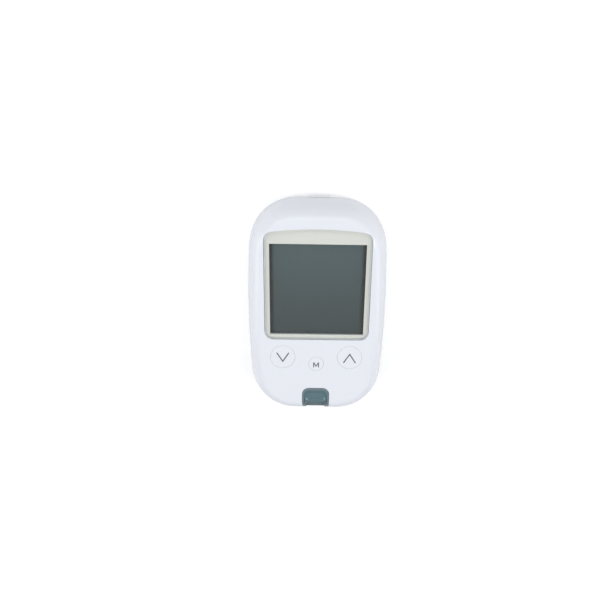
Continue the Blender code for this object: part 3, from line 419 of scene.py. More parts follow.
def block(name, low, high, rounding=0.0):
    """A box between two corners, with all its edges rounded."""
    low, high = Vector(low), Vector(high)
    bpy.ops.object.select_all(action="DESELECT")
    bpy.ops.mesh.primitive_cube_add(size=1, location=(low + high) / 2)
    item = bpy.context.object
    item.name = name
    item.scale = high - low
    bpy.ops.object.transform_apply()
    if rounding:
        bpy.ops.object.mode_set(mode="EDIT")
        bpy.ops.mesh.select_all(action="SELECT")
        bpy.ops.mesh.bevel(offset=rounding, segments=BEVEL_STEPS, affect="EDGES")
        bpy.ops.object.mode_set(mode="OBJECT")
    return item


def turned(name, x, y, profile, steps=ROUND_STEPS):
    """A solid turned about an upright axis, from (radius, height) pairs."""
    return lofted(name, [at_height(circle(x, y, radius, steps), z) for radius, z in profile])


def rod(x, y, radius, low, high, steps=SMALL_ROUND_STEPS):
    return turned("cutter", x, y, ((radius, low), (radius, high)), steps)


def lay(item, place, rotation):
    """Turns an upright shape and moves it to its place, with both put into its mesh."""
    alone(item)
    item.rotation_euler = rotation
    item.location = place
    bpy.ops.object.transform_apply()
    return item


def combine(item, other, operation):
    alone(item)
    step = item.modifiers.new("combine", "BOOLEAN")
    step.operation = operation
    step.solver = "EXACT"
    step.object = other
    bpy.ops.object.modifier_apply(modifier=step.name)
    bpy.data.objects.remove(other)


def cut(item, cutter):
    combine(item, cutter, "DIFFERENCE")
    return item


def join(item, other):
    combine(item, other, "UNION")


def smooth(item):
    """Smooth shading that keeps real edges and flat faces."""
    alone(item)
    bpy.ops.object.shade_smooth_by_angle(angle=SMOOTH_ANGLE)
    step = item.modifiers.new("normals", "WEIGHTED_NORMAL")
    step.keep_sharp = True
    step.weight = FLAT_FACE_WEIGHT
    bpy.ops.object.modifier_apply(modifier=step.name)


def finished(item, body, finish, stands_for=()):
    """Gives a piece its shading, material and body, and hides the pieces of the frame that it stands for."""
    smooth(item)
    item.data.materials.clear()
    item.data.materials.append(finish)
    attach(item, body)
    if stands_for:
        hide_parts(*stands_for)


# Materials

UNIT = (0.0, 1.0)

CLOUD_SCALE = 40.0
CLOUD_SPAN = (0.3, 0.7)
GRAIN_SCALE = 3000.0
GRAIN_DEPTH = 0.0001

LENS_COLOR = (0.97, 0.98, 0.98)
LENS_SHADE = (0.93, 0.94, 0.94)
LENS_IOR = 1.4
LENS_GLOSS = (0.0, 0.012)
SMUDGE_SCALE = 90.0

# Painted reflection: the film runs from the low colour to a lighter colour towards the top of the display.
DISPLAY_LOW_REFLECTION_COLOR = (0.032, 0.048, 0.050)
DISPLAY_HIGH_REFLECTION_COLOR = (0.060, 0.091, 0.097)
# The film's dark edge beyond its reflector, deepened with painted shade from the window's rim.
DISPLAY_EDGE_AND_SHADE_COLOR = (0.002, 0.006, 0.003)
DISPLAY_EDGE_SHADE_START = 0.0023
DISPLAY_EDGE_SHADE_END = 0.0004
DISPLAY_GLOSS = (0.3, 0.4)
DISPLAY_SPECULAR = 0.08
SPARKLE_COLOR = (0.080, 0.100, 0.100)
SPARKLE_SCALE = 1500.0
SPARKLE_ROUGHNESS = 0.7
SPARKLE_SPAN = (0.25, 0.75)
SPARKLE_WEIGHT = 0.06

PRINT_COLOR = (0.755, 0.752, 0.690)
PRINT_SECOND_COLOR = (0.767, 0.762, 0.702)
# Painted shade: a greyer line where the lens's rounded edge lies in shade at the sides and the foot.
PRINT_SHADE_LINE_COLOR = (0.64, 0.645, 0.62)
PRINT_SHADE_LINE_WIDTH = 0.0008

CARBON_COLOR = (0.03, 0.03, 0.03)
SILICONE_COLOR = (0.30, 0.22, 0.12)
ELASTOMER_GLOSS = (0.5, 0.7)
STRIPE_PITCH = 0.0002
STRIPE_WAVER = 0.4
STRIPE_SPAN = (0.4, 0.6)

MASK_COLOR = (0.012, 0.13, 0.05)
MASK_SECOND_COLOR = (0.014, 0.15, 0.06)
MASK_GRAIN_SCALE = 900.0
MASK_GLOSS = (0.25, 0.45)
TRACK_COLOR = (0.03, 0.24, 0.09)
TRACK_SCALE = 300.0
TRACK_WIDTH = 0.06

SLEEVE_COLOR = (0.035, 0.040, 0.050)
SLEEVE_GLOSS = (0.22, 0.42)
SLEEVE_BAND_COLOR = (0.55, 0.56, 0.58)
SLEEVE_BAND_SHARE = 0.24
SLEEVE_BAND_BLUR = 0.0003
SCUFF_SCALE = 500.0


def feed(tree, node, values):
    """Sets sockets of a node to a number or a colour, or links them to another socket."""
    for label, value in values.items():
        socket = node.inputs[label]
        if isinstance(value, bpy.types.NodeSocket):
            tree.links.new(value, socket)
        else:
            socket.default_value = (*value, 1) if isinstance(value, tuple) else value


def noise(tree, place, scale, detail, roughness=0.5):
    made = tree.nodes.new("ShaderNodeTexNoise")
    feed(tree, made, {"Vector": place, "Scale": scale, "Detail": detail, "Roughness": roughness})
    return made.outputs["Fac"]


def calculated(tree, operation, first, second=0.0):
    made = tree.nodes.new("ShaderNodeMath")
    made.operation = operation
    feed(tree, made, {0: first, 1: second})
    return made.outputs["Value"]


def length_of(tree, source):
    made = tree.nodes.new("ShaderNodeVectorMath")
    made.operation = "LENGTH"
    feed(tree, made, {0: source})
    return made.outputs["Value"]


def axes_of(tree, place):
    made = tree.nodes.new("ShaderNodeSeparateXYZ")
    feed(tree, made, {"Vector": place})
    return made.outputs


def ranged(tree, source, span, result, kind="LINEAR"):
    """A value that runs over the result while another runs over the span."""
    made = tree.nodes.new("ShaderNodeMapRange")
    made.interpolation_type = kind
    feed(tree, made, {"Value": source, "From Min": span[0], "From Max": span[1]})
    feed(tree, made, {"To Min": result[0], "To Max": result[1]})
    return made.outputs["Result"]


def eased_range(tree, source, span, full=1.0):
    """A value that runs gently from 0 to full while another runs over the span."""
    return ranged(tree, source, span, (0.0, full), "SMOOTHSTEP")


def mixed_color(tree, factor, first, second):
    made = tree.nodes.new("ShaderNodeMix")
    made.data_type = "RGBA"
    feed(tree, made, {"Factor": factor, "A": first, "B": second})
    return made.outputs["Result"]


def mix_shaders(tree, factor, first, second, output):
    mixed = tree.nodes.new("ShaderNodeMixShader")
    feed(tree, mixed, {"Fac": factor, 1: first.outputs[0], 2: second.outputs[0]})
    feed(tree, tree.nodes[output], {"Surface": mixed.outputs["Shader"]})


def make_moulded_group():
    """Moulded plastic: faint clouds of colour and gloss, and a fine moulded grain."""
    group = bpy.data.node_groups.new("moulded surface", "ShaderNodeTree")
    for way, label, kind in (
        ("INPUT", "Position", "NodeSocketVector"),
        ("INPUT", "Color", "NodeSocketColor"),
        ("INPUT", "Second Color", "NodeSocketColor"),
        ("INPUT", "Smoothest", "NodeSocketFloat"),
        ("INPUT", "Roughest", "NodeSocketFloat"),
        ("OUTPUT", "Color", "NodeSocketColor"),
        ("OUTPUT", "Roughness", "NodeSocketFloat"),
        ("OUTPUT", "Height", "NodeSocketFloat"),
    ):
        group.interface.new_socket(label, in_out=way, socket_type=kind)
    given = group.nodes.new("NodeGroupInput").outputs
    clouds = noise(group, given["Position"], CLOUD_SCALE, 3)
    feed(group, group.nodes.new("NodeGroupOutput"), {
        "Color": mixed_color(group, clouds, given["Color"], given["Second Color"]),
        "Roughness": ranged(group, clouds, CLOUD_SPAN, (given["Smoothest"], given["Roughest"])),
        "Height": noise(group, given["Position"], GRAIN_SCALE, 2),
    })
    return group


MOULDED = make_moulded_group()


def new_material(name):
    made = bpy.data.materials.new(name)
    made.use_nodes = True
    tree = made.node_tree
    place = tree.nodes.new("ShaderNodeTexCoord")
    return made, tree, tree.nodes["Principled BSDF"], place.outputs["Object"]


def moulded(name, color, second, gloss, bump=0.02, metallic=0.0, coat=0.0):
    """A material of moulded plastic, rubber or plain metal, from two close colours and a gloss range."""
    made, tree, shader, place = new_material(name)
    surface = tree.nodes.new("ShaderNodeGroup")
    surface.node_tree = MOULDED
    feed(tree, surface, {"Position": place, "Color": color, "Second Color": second})
    feed(tree, surface, {"Smoothest": gloss[0], "Roughest": gloss[1]})
    lift = tree.nodes.new("ShaderNodeBump")
    feed(tree, lift, {"Strength": bump, "Distance": GRAIN_DEPTH, "Height": surface.outputs["Height"]})
    feed(tree, shader, {
        "Base Color": surface.outputs["Color"],
        "Roughness": surface.outputs["Roughness"],
        "Normal": lift.outputs["Normal"],
        "Metallic": metallic,
        "Coat Weight": coat,
    })
    return made


def make_lens_material():
    """Clear moulded acrylic that lets lamps through to what lies behind it."""
    made, tree, shader, place = new_material("clear acrylic")
    smudges = noise(tree, place, SMUDGE_SCALE, 2)
    feed(tree, shader, {
        "Base Color": LENS_COLOR,
        "Transmission Weight": 1.0,
        "IOR": LENS_IOR,
        "Roughness": ranged(tree, smudges, UNIT, LENS_GLOSS),
    })
    clear = tree.nodes.new("ShaderNodeBsdfTransparent")
    feed(tree, clear, {"Color": LENS_SHADE})
    path = tree.nodes.new("ShaderNodeLightPath").outputs
    light = calculated(tree, "MAXIMUM", path["Is Shadow Ray"], path["Is Diffuse Ray"])
    mix_shaders(tree, light, shader, clear, "Material Output")
    return made


def make_display_material():
    """Blank reflective display: grey green film with a painted reflection that lightens it towards the top,
    and a darkening to the sides that is partly the film's dark edge and partly painted shade, with a fine
    sparkle.
    """
    made, tree, shader, place = new_material("display film with painted reflection and shade")
    axes = axes_of(tree, place)
    # Painted reflection: the film is lighter towards the top.
    upward = eased_range(tree, axes["Y"], (CLEAR_LOW, CLEAR_HIGH))
    film = mixed_color(tree, upward, DISPLAY_LOW_REFLECTION_COLOR, DISPLAY_HIGH_REFLECTION_COLOR)
    sparkle = noise(tree, place, SPARKLE_SCALE, 3, SPARKLE_ROUGHNESS)
    glint = eased_range(tree, sparkle, SPARKLE_SPAN, SPARKLE_WEIGHT)
    grained = mixed_color(tree, glint, film, SPARKLE_COLOR)
    # Darker to the sides: partly the film's dark edge, partly painted shade from the window's rim.
    edge = (CLEAR_HALF_WIDTH - DISPLAY_EDGE_SHADE_START, CLEAR_HALF_WIDTH - DISPLAY_EDGE_SHADE_END)
    sideways = eased_range(tree, calculated(tree, "ABSOLUTE", axes["X"]), edge)
    feed(tree, shader, {
        "Base Color": mixed_color(tree, sideways, grained, DISPLAY_EDGE_AND_SHADE_COLOR),
        "Roughness": ranged(tree, sparkle, UNIT, DISPLAY_GLOSS),
        "Specular IOR Level": DISPLAY_SPECULAR,
    })
    return made


def make_print_material():
    """Warm grey print with a thin greyer line of painted shade along the sides and the foot of the window,
    where the lens's rounded edge is in shade.
    """
    made = moulded("warm grey print", PRINT_COLOR, PRINT_SECOND_COLOR, (0.35, 0.45), bump=0.01)
    tree = made.node_tree
    base = tree.nodes["Principled BSDF"].inputs["Base Color"]
    plain = base.links[0].from_socket
    axes = axes_of(tree, tree.nodes["Texture Coordinate"].outputs["Object"])
    # The greyer line is painted shade of the lens's rounded edge, not print; the lit top has none.
    radius = WINDOW_CORNER_RADIUS
    side, foot = LENS_HIGH.x, LENS_LOW.y - PRINT_SHADE_LINE_WIDTH / 2
    sideways = calculated(tree, "ABSOLUTE", axes["X"])
    beyond = tree.nodes.new("ShaderNodeCombineXYZ")
    feed(tree, beyond, {
        "X": ranged(tree, sideways, (side - radius, side), (0.0, radius)),
        "Y": ranged(tree, axes["Y"], (foot + radius, foot), (0.0, radius)),
    })
    edge = (radius - PRINT_SHADE_LINE_WIDTH, radius - PRINT_SHADE_LINE_WIDTH / 2)
    line = eased_range(tree, length_of(tree, beyond.outputs["Vector"]), edge)
    tree.links.new(mixed_color(tree, line, plain, PRINT_SHADE_LINE_COLOR), base)
    return made


def make_elastomer_material():
    """Fine stripes across X of carbon and plain silicone."""
    made, tree, shader, place = new_material("zebra strip")
    wave = tree.nodes.new("ShaderNodeTexWave")
    feed(tree, wave, {
        "Vector": place,
        "Scale": math.pi / (10 * STRIPE_PITCH),
        "Distortion": STRIPE_WAVER,
    })
    stripes = eased_range(tree, wave.outputs["Fac"], STRIPE_SPAN)
    feed(tree, shader, {
        "Base Color": mixed_color(tree, stripes, CARBON_COLOR, SILICONE_COLOR),
        "Roughness": ranged(tree, wave.outputs["Fac"], UNIT, ELASTOMER_GLOSS),
    })
    return made


def make_board_material():
    """Green solder mask over copper tracks that run in short straight steps."""
    made, tree, shader, place = new_material("solder mask")
    tracks = tree.nodes.new("ShaderNodeTexBrick")
    feed(tree, tracks, {
        "Vector": place,
        "Scale": TRACK_SCALE,
        "Mortar Size": TRACK_WIDTH,
        "Color1": MASK_COLOR,
        "Color2": MASK_SECOND_COLOR,
        "Mortar": TRACK_COLOR,
    })
    feed(tree, shader, {
        "Base Color": tracks.outputs["Color"],
        "Roughness": ranged(tree, noise(tree, place, MASK_GRAIN_SCALE, 2), UNIT, MASK_GLOSS),
    })
    return made


def make_sleeve_material(name, cells):
    """Printed sleeve of a cell: dark, with a paler band at its plus end, told apart by place."""
    made, tree, shader, place = new_material(name)
    low, high, plus_high = cells
    band, blur = (high - low) * SLEEVE_BAND_SHARE, SLEEVE_BAND_BLUR
    span = (high - band, high - band + blur) if plus_high else (low + band, low + band - blur)
    factor = eased_range(tree, axes_of(tree, place)["Y"], span)
    feed(tree, shader, {
        "Base Color": mixed_color(tree, factor, SLEEVE_COLOR, SLEEVE_BAND_COLOR),
        "Roughness": ranged(tree, noise(tree, place, SCUFF_SCALE, 3), UNIT, SLEEVE_GLOSS),
    })
    return made


WHITE = moulded("white plastic", (0.775, 0.800, 0.860), (0.790, 0.813, 0.870), (0.16, 0.20))
KEY_WHITE = moulded("white key plastic", (0.780, 0.803, 0.862), (0.795, 0.816, 0.872), (0.20, 0.25))
INK = moulded("slate ink", (0.085, 0.100, 0.120), (0.100, 0.115, 0.135), (0.35, 0.45))
PRINT = make_print_material()
TEAL = moulded("teal plastic", (0.092, 0.164, 0.192), (0.100, 0.174, 0.202), (0.09, 0.15))
TEAL_GLOSS = moulded(
    "polished teal", (0.122, 0.186, 0.208), (0.130, 0.194, 0.216), (0.14, 0.2), coat=1.0
)
INNER = moulded("white inner plastic", (0.62, 0.62, 0.60), (0.66, 0.66, 0.64), (0.45, 0.6))
BLACK = moulded("black plastic", (0.018, 0.018, 0.020), (0.026, 0.026, 0.028), (0.4, 0.55))
RUBBER = moulded("pale rubber", (0.830, 0.845, 0.870), (0.845, 0.858, 0.880), (0.45, 0.6), bump=0.08)
METAL = moulded("bright metal", (0.62, 0.62, 0.60), (0.72, 0.72, 0.70), (0.18, 0.32), metallic=1.0)
BRASS = moulded("gilt contact", (0.70, 0.50, 0.20), (0.80, 0.60, 0.28), (0.2, 0.35), metallic=1.0)
FILM = moulded("label film", (0.72, 0.73, 0.74), (0.75, 0.76, 0.77), (0.35, 0.5), bump=0.04)
ELASTOMER = make_elastomer_material()
DISPLAY = make_display_material()
LENS = make_lens_material()
BOARD = make_board_material()


# Covers


def edge_rings(base, top, wall, depth, steps, rounding=0.0):
    """Outlines that draw in along a rounded edge, from the seam to a flat face."""
    away = 1 if top > base else -1
    rings = []
    if rounding:
        for rise, inset in edge_curve(rounding)[:-1]:
            rings.append(at_height(body_outline(wall + inset), base + away * rise))
    for step in range(1 if rounding else 0, steps + 1):
        turn = math.pi / 2 * step / steps
        rise = math.sin(turn) ** (2 / EDGE_POWER)
        spread = max(math.cos(turn), 0) ** (2 / EDGE_POWER)
        rings.append(at_height(body_outline(wall + depth * (1 - spread)), base + (top - base) * rise))
    return rings


def screw_places():
    boxes = [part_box(f"cover_screw_{number}") for number in range(1, 5)]
    return [((low.x + high.x) / 2, (low.y + high.y) / 2, low.z, high.z) for low, high in boxes]


def key_place(name):
    low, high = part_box(f"button_{name}")
    return (low.x + high.x) / 2, (low.y + high.y) / 2, low.z


def clear_opening(low, high, grow=0.0):
    x = CLEAR_HALF_WIDTH + grow
    return block("cutter", (-x, CLEAR_LOW - grow, low), (x, CLEAR_HIGH + grow, high))


def cut_data_port(cover):
    """The gap for the data port cover, and room for the jack where the floor rises behind it."""
    inner = TOP_END - WALL - LIP_THICKNESS - OVERRUN
    gap_low = (FLAP_LOW.x - FLAP_GAP, inner, FLAP_LOW.z - FLAP_GAP)
    cut(cover, block("cutter", gap_low, (FLAP_HIGH.x + FLAP_GAP, TOP_END + OVERRUN, SEAM_MIDDLE)))
    x, z = (FLAP_LOW.x + FLAP_HIGH.x) / 2, (FLAP_LOW.z + FLAP_HIGH.z) / 2
    half, rise = JACK_HALF_WIDTH + FIT, JACK_HALF_HEIGHT + FIT
    room_low = (x - half, TOP_END - WALL - EDGE_INSET, z - rise)
    cut(cover, block("cutter", room_low, (x + half, inner + OVERRUN / 2, z + rise)))


def make_front_cover():
    rings = edge_rings(FRONT_BASE, FACE_Z, 0, EDGE_INSET, EDGE_STEPS, SEAM_ROUNDING)
    cover = lofted("front_cover_shell", rings)
    rebate_top = LIP_TOP + FIT
    rebate = body_outline(WALL - LIP_THICKNESS - FIT)
    cavity = [at_height(rebate, z) for z in (FRONT_BASE - OVERRUN, rebate_top)]
    cavity += edge_rings(rebate_top, FACE_INSIDE, WALL, INSIDE_INSET, INSIDE_STEPS)
    cut(cover, lofted("cutter", cavity))
    join(cover, prism(window_outline(FIT + WINDOW_RIM), LEDGE_BOTTOM, FACE_INSIDE + FIT))
    for x, y, low, high in screw_places():
        join(cover, rod(x, y, POST_RADIUS, BOSS_TOP + FIT, FACE_INSIDE + FIT))
        cut(cover, rod(x, y, SHANK_HOLE_RADIUS, BOSS_TOP - OVERRUN, high + OVERRUN))
    window = lambda grow: window_outline(WINDOW_GAP + grow)
    cut(cover, flared_cutter(window, LEDGE_TOP, FACE_Z, RIM_ROUNDING))
    cut(cover, clear_opening(LEDGE_BOTTOM - OVERRUN, LEDGE_TOP + OVERRUN, FIT))
    for name, radius in KEYS.items():
        x, y, _ = key_place(name)
        hole = lambda grow: circle(x, y, radius + KEY_GROWTH + KEY_GAP + grow)
        cut(cover, flared_cutter(hole, FACE_INSIDE - OVERRUN, FACE_Z, KEY_ROUNDING))
    port = lambda grow: port_outline(PORT_GAP + grow)
    cut(cover, flared_cutter(port, PORT_LOW.z - OVERRUN, FACE_Z, KEY_ROUNDING))
    finished(cover, "meter", WHITE, ["front_cover"])


def rear_shell():
    """The rear tray with the lip that stands inside the front cover."""
    outside = edge_rings(REAR_RIM, 0, 0, EDGE_INSET, EDGE_STEPS, SEAM_ROUNDING)[::-1]
    outside += [at_height(body_outline(WALL - LIP_THICKNESS), z) for z in (REAR_RIM, LIP_TOP)]
    inside = edge_rings(REAR_RIM, WALL, WALL, INSIDE_INSET, INSIDE_STEPS)[::-1]
    inside.append(at_height(body_outline(WALL), LIP_TOP + OVERRUN))
    return cut(lofted("rear_cover_shell", outside), lofted("cutter", inside))


def bay_limits():
    """The bay's half width, lower end, upper end and ceiling, from the cells and contacts in it."""
    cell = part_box("battery_2")
    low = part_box("contact_bridge")[0].y - FIT
    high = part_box("contact_plus")[1].y + FIT
    return cell[1].x + FIT, low, high, cell[1].z + FIT


def add_bay_block(cover):
    _, _, bay_top, ceiling = bay_limits()
    half = DOOR_HIGH.x + FIT + DOOR_FRAME
    foot = WALL / 2
    low_end = DOOR_BOTTOM - HOOK_REACH - 2 * DOOR_FRAME
    high_end = DOOR_HIGH.y + FIT + DOOR_FRAME
    well_top = DOOR_BACK + FIT + WELL_HEIGHT
    join(cover, block("wall", (-half, low_end, foot), (half, bay_top + BAY_WALL, ceiling + BAY_ROOF)))
    join(cover, block("wall", (-half, bay_top, foot), (half, high_end, well_top)))


def hook_spans():
    return [(place - HOOK_WIDTH / 2, place + HOOK_WIDTH / 2) for place in HOOK_PLACES]


def cut_bay(cover):
    half, bay_bottom, bay_top, ceiling = bay_limits()
    pocket_top = DOOR_BACK + FIT
    pocket = lambda grow: door_outline(FIT / 2 + grow)
    cut(cover, flared_cutter(pocket, pocket_top, 0, RIM_ROUNDING))
    cut(cover, block("cutter", (-half, bay_bottom, DOOR_RECESS), (half, bay_top, ceiling)))
    hook_top = pocket_top + HOOK_HEIGHT + HOOK_ROOM
    for low, high in hook_spans():
        start = (low - FIT, DOOR_BOTTOM - HOOK_REACH - DOOR_FRAME / 2, DOOR_BACK)
        cut(cover, block("cutter", start, (high + FIT, DOOR_BOTTOM + HOOK_ZONE, hook_top)))
    latch_half = LATCH_WIDTH / 2 + FIT
    latch_low = (-latch_half, DOOR_HIGH.y - LATCH_ZONE + FIT, DOOR_RECESS)
    cut(cover, block("cutter", latch_low, (latch_half, DOOR_HIGH.y, DOOR_BACK + LATCH_HEIGHT + FIT)))
    button_low, button_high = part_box("set_button")
    y = (button_low.y + button_high.y) / 2
    well_top = DOOR_BACK + FIT + WELL_HEIGHT
    cut(cover, rod(0, y, SET_HOLE_RADIUS, DOOR_RECESS, well_top + OVERRUN))
    finger = ((FINGER_RADIUS, -OVERRUN), (FINGER_RADIUS, 0), (FINGER_RADIUS / 2, FINGER_DEPTH))
    cut(cover, turned("cutter", 0, DOOR_HIGH.y + FIT, finger))


def make_rear_cover():
    cover = rear_shell()
    add_bay_block(cover)
    for x, y, _, _ in screw_places():
        join(cover, rod(x, y, BOSS_RADIUS, WALL / 2, BOSS_TOP))
    cut_bay(cover)
    cut_data_port(cover)
    for x, y, low, _ in screw_places():
        bore = lambda grow: circle(x, y, SCREW_HEAD_RADIUS + FIT + grow, SMALL_ROUND_STEPS)
        cut(cover, flared_cutter(bore, low + SCREW_HEAD_HEIGHT + FIT, 0, RIM_ROUNDING))
        cut(cover, rod(x, y, SHANK_HOLE_RADIUS, 0, BOSS_TOP + OVERRUN))
    cut(cover, prism(label_outline(FIT / 2), -OVERRUN, LABEL_HIGH.z + FIT))
    finished(cover, "meter", WHITE, ["rear_cover"])


def make_battery_door():
    door = slab("battery_door_panel", door_outline, DOOR_RECESS, DOOR_BACK, DOOR_ROUNDING)
    foot = (DOOR_RECESS + DOOR_BACK) / 2
    toe_bottom = DOOR_BACK + FIT
    toe_top = toe_bottom + HOOK_HEIGHT
    heel = DOOR_BOTTOM + FIT
    for low, high in hook_spans():
        join(door, block("hook", (low, heel, foot), (high, heel + HOOK_FOOT, toe_top)))
        join(door, block("toe", (low, DOOR_BOTTOM - HOOK_REACH, toe_bottom), (high, heel + FIT, toe_top)))
    half = LATCH_WIDTH / 2
    end = DOOR_HIGH.y - LATCH_THICKNESS
    top = DOOR_BACK + LATCH_HEIGHT
    join(door, block("latch", (-half, end - LATCH_THICKNESS, foot), (half, end, top)))
    for number in range(GRIP_COUNT):
        y = DOOR_HIGH.y - FINGER_RADIUS / 2 - number * GRIP_PITCH
        z = DOOR_RECESS + GRIP_RADIUS - GRIP_RISE
        join(door, round_bar("grip", GRIP_HALF_WIDTH, GRIP_RADIUS, y, z))
    finished(door, "door", WHITE, ["battery_door"])


def round_bar(name, half, radius, y, z):
    """A bar along X with round ends."""
    start = [(radius - inset, rise) for rise, inset in edge_curve(radius)[1:]]
    profile = start + [(width, 2 * half - height) for width, height in reversed(start)]
    return lay(turned(name, 0, 0, profile, SMALL_ROUND_STEPS), (-half, y, z), (0, math.pi / 2, 0))


# Display


def make_display():
    span = (LENS_LOW.z, LENS_HIGH.z)
    lens = slab("window_lens", window_outline, *span, LENS_FOOT_ROUNDING, LENS_ROUNDING)
    finished(lens, "meter", LENS, ["display_window"])
    low = BORDER_HIGH.z - PRINT_THICKNESS
    border = slab("window_print", window_outline, low, BORDER_HIGH.z)
    cut(border, clear_opening(low - OVERRUN, BORDER_HIGH.z + OVERRUN))
    finished(border, "meter", PRINT, ["window_border"])
    panel = block("display_glass", PANEL_LOW, PANEL_HIGH, PANEL_ROUNDING)
    finished(panel, "meter", DISPLAY, ["display_panel"])


# Keys


def stroke_outline(points, width):
    """The outline of a line of even width through these points, with mitred corners and square ends."""
    left, right = [], []
    for number, point in enumerate(points):
        before = (point - points[number - 1]).normalized() if number else None
        after = (points[number + 1] - point).normalized() if number < len(points) - 1 else None
        before, after = before or after, after or before
        along = (before + after).normalized()
        across = Vector((-along.y, along.x))
        reach = width / 2 / max(across.dot(Vector((-after.y, after.x))), MITRE_LIMIT)
        left.append(point + across * reach)
        right.append(point - across * reach)
    return [tuple(point) for point in left + right[::-1]]


def letter_outline():
    """A plain M with flat feet and tops, drawn around its middle."""
    wide, tall, stroke = LETTER_HALF_WIDTH, LETTER_HALF_HEIGHT, LETTER_STROKE
    dip, crotch = -tall * LETTER_DIP, -tall * LETTER_DIP + LETTER_DIAGONAL
    slope = (tall - crotch) / (wide - stroke)
    inner = dip + slope * (wide - stroke)
    half = [(0, dip), (wide - stroke, inner), (wide - stroke, -tall), (wide, -tall), (wide, tall)]
    half += [(wide - stroke, tall), (0, crotch)]
    return half + [(-across, up) for across, up in reversed(half[1:-1])]


def make_legend(key, points):
    x, y, _ = key_place(key)
    line = [(x + across, y - LEGEND_DROP[key] + up) for across, up in points]
    low = FACE_Z - INK_THICKNESS
    legend = lofted(f"legend_{key}", [at_height(line, low), at_height(line, FACE_Z - INK_THICKNESS / 4)])
    finished(legend, f"{key}_key", INK)


def make_key(name, radius):
    x, y, low = key_place(name)
    radius += KEY_GROWTH
    top = FACE_Z - KEY_SINK
    flange_top = FACE_INSIDE - FIT
    profile = [
        (PLUNGER_RADIUS, low),
        (PLUNGER_RADIUS, flange_top - KEY_FLANGE),
        (radius + KEY_FLANGE, flange_top - KEY_FLANGE),
        (radius + KEY_FLANGE, flange_top),
        (radius, flange_top),
    ]
    profile += [(radius - inset, top - drop) for inset, drop in edge_curve(KEY_ROUNDING)]
    cap = turned(f"key_cap_{name}", x, y, profile)
    finished(cap, f"{name}_key", KEY_WHITE, [f"button_{name}"])


def make_legends():
    wide, tall = CHEVRON_HALF_WIDTH, CHEVRON_HALF_HEIGHT
    chevron = stroke_outline([Vector(point) for point in ((-wide, tall), (0, -tall), (wide, tall))], STROKE)
    make_legend("down", chevron)
    make_legend("up", [(across, -up) for across, up in chevron])
    make_legend("mode", letter_outline())


# Strip port and ejector


def make_strip_port():
    port = prism(port_outline(0), PORT_LOW.z, FACE_Z + OVERRUN)
    port.name = "strip_port_shell"
    form = lofted("form", edge_rings(FRONT_BASE, FACE_Z, 0, EDGE_INSET, EDGE_STEPS))
    combine(port, form, "INTERSECT")
    beyond = LOW_END - 2 * OVERRUN
    half = SLOT_HALF_WIDTH
    cut(port, block("cutter", (-half, beyond, SLOT_BOTTOM), (half, PORT_TOP + OVERRUN, SLOT_TOP)))
    cut(port, prism(mouth_outline(), SLOT_BOTTOM, FACE_Z + OVERRUN))
    recess = lambda grow: ejector_outline(EJECTOR_GAP + grow, EJECTOR_TRAVEL)
    cut(port, flared_cutter(recess, EJECTOR_BASE - FIT, FACE_Z, KEY_ROUNDING))
    trough = SLIDE_HIGH.x + FIT
    low = SLIDE_LOW.y - EJECTOR_TRAVEL - FIT
    cut(port, block("cutter", (-trough, low, SLIDE_LOW.z - FIT), (trough, PORT_TOP + OVERRUN, EJECTOR_BASE)))
    finished(port, "meter", TEAL_GLOSS, ["strip_port"])


def eased(share, ease):
    """From 0 to 1 in a straight line with soft ends."""
    full = 2 * ease * (1 - ease)
    if share < ease:
        return share**2 / full
    if share > 1 - ease:
        return 1 - (1 - share) ** 2 / full
    return (share - ease / 2) / (1 - ease)


def make_ejector():
    rings = [at_height(ejector_outline(0), EJECTOR_BASE)]
    for inset, drop in edge_curve(EJECTOR_ROUNDING):
        rings.append(at_height(ejector_outline(-inset), FACE_Z - drop))
    for step in range(DISH_STEPS + 1):
        share = step / DISH_STEPS
        drop = EJECTOR_DISH * eased(share, DISH_EASE)
        rings.append(at_height(ejector_outline(-DISH_RIM - DISH_SLOPE * share), FACE_Z - drop))
    pad = lofted("ejector_pad", rings)
    z = FACE_Z - EJECTOR_DISH + RIDGE_RISE - RIDGE_RADIUS
    join(pad, round_bar("ridge", RIDGE_HALF_WIDTH, RIDGE_RADIUS, EJECTOR_LOW.y + RIDGE_INSET, z))
    leg_low = (-LEG_HALF_WIDTH, SLIDE_LOW.y, SLIDE_HIGH.z + FIT)
    leg_high = (LEG_HALF_WIDTH, (EJECTOR_LOW.y + EJECTOR_HIGH.y) / 2, EJECTOR_BASE + FIT)
    join(pad, block("leg", leg_low, leg_high))
    finished(pad, "ejector", TEAL, ["ejector_button"])


# Cells, springs and screws


def make_cell(number, plus_high):
    low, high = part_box(f"battery_{number}")
    radius = (high.x - low.x) / 2
    length = high.y - low.y
    body = length - NUB_LENGTH
    profile = [(radius - 3 * CELL_RIM, 0), (radius - CELL_RIM, 0)]
    profile += [(radius - inset, rise) for rise, inset in edge_curve(CELL_RIM)[1:]]
    profile += [(radius - inset, body - drop) for inset, drop in edge_curve(CELL_RIM)[1:]]
    profile += [
        (radius - 3 * CELL_RIM, body),
        (radius - 3 * CELL_RIM, body - CELL_RIM / 2),
        (NUB_RADIUS + CELL_RIM, body - CELL_RIM / 2),
        (NUB_RADIUS, body - CELL_RIM / 2),
        (NUB_RADIUS, length - CELL_RIM / 2),
        (NUB_RADIUS - CELL_RIM / 2, length),
    ]
    cell = turned(f"cell_{number}", 0, 0, profile)
    x, z = (low.x + high.x) / 2, (low.z + high.z) / 2
    if plus_high:
        lay(cell, (x, low.y, z), (-math.pi / 2, 0, 0))
    else:
        lay(cell, (x, high.y, z), (math.pi / 2, 0, 0))
    sleeve = make_sleeve_material(f"cell sleeve {number}", (low.y, high.y, plus_high))
    finished(cell, "meter", sleeve, [f"battery_{number}"])


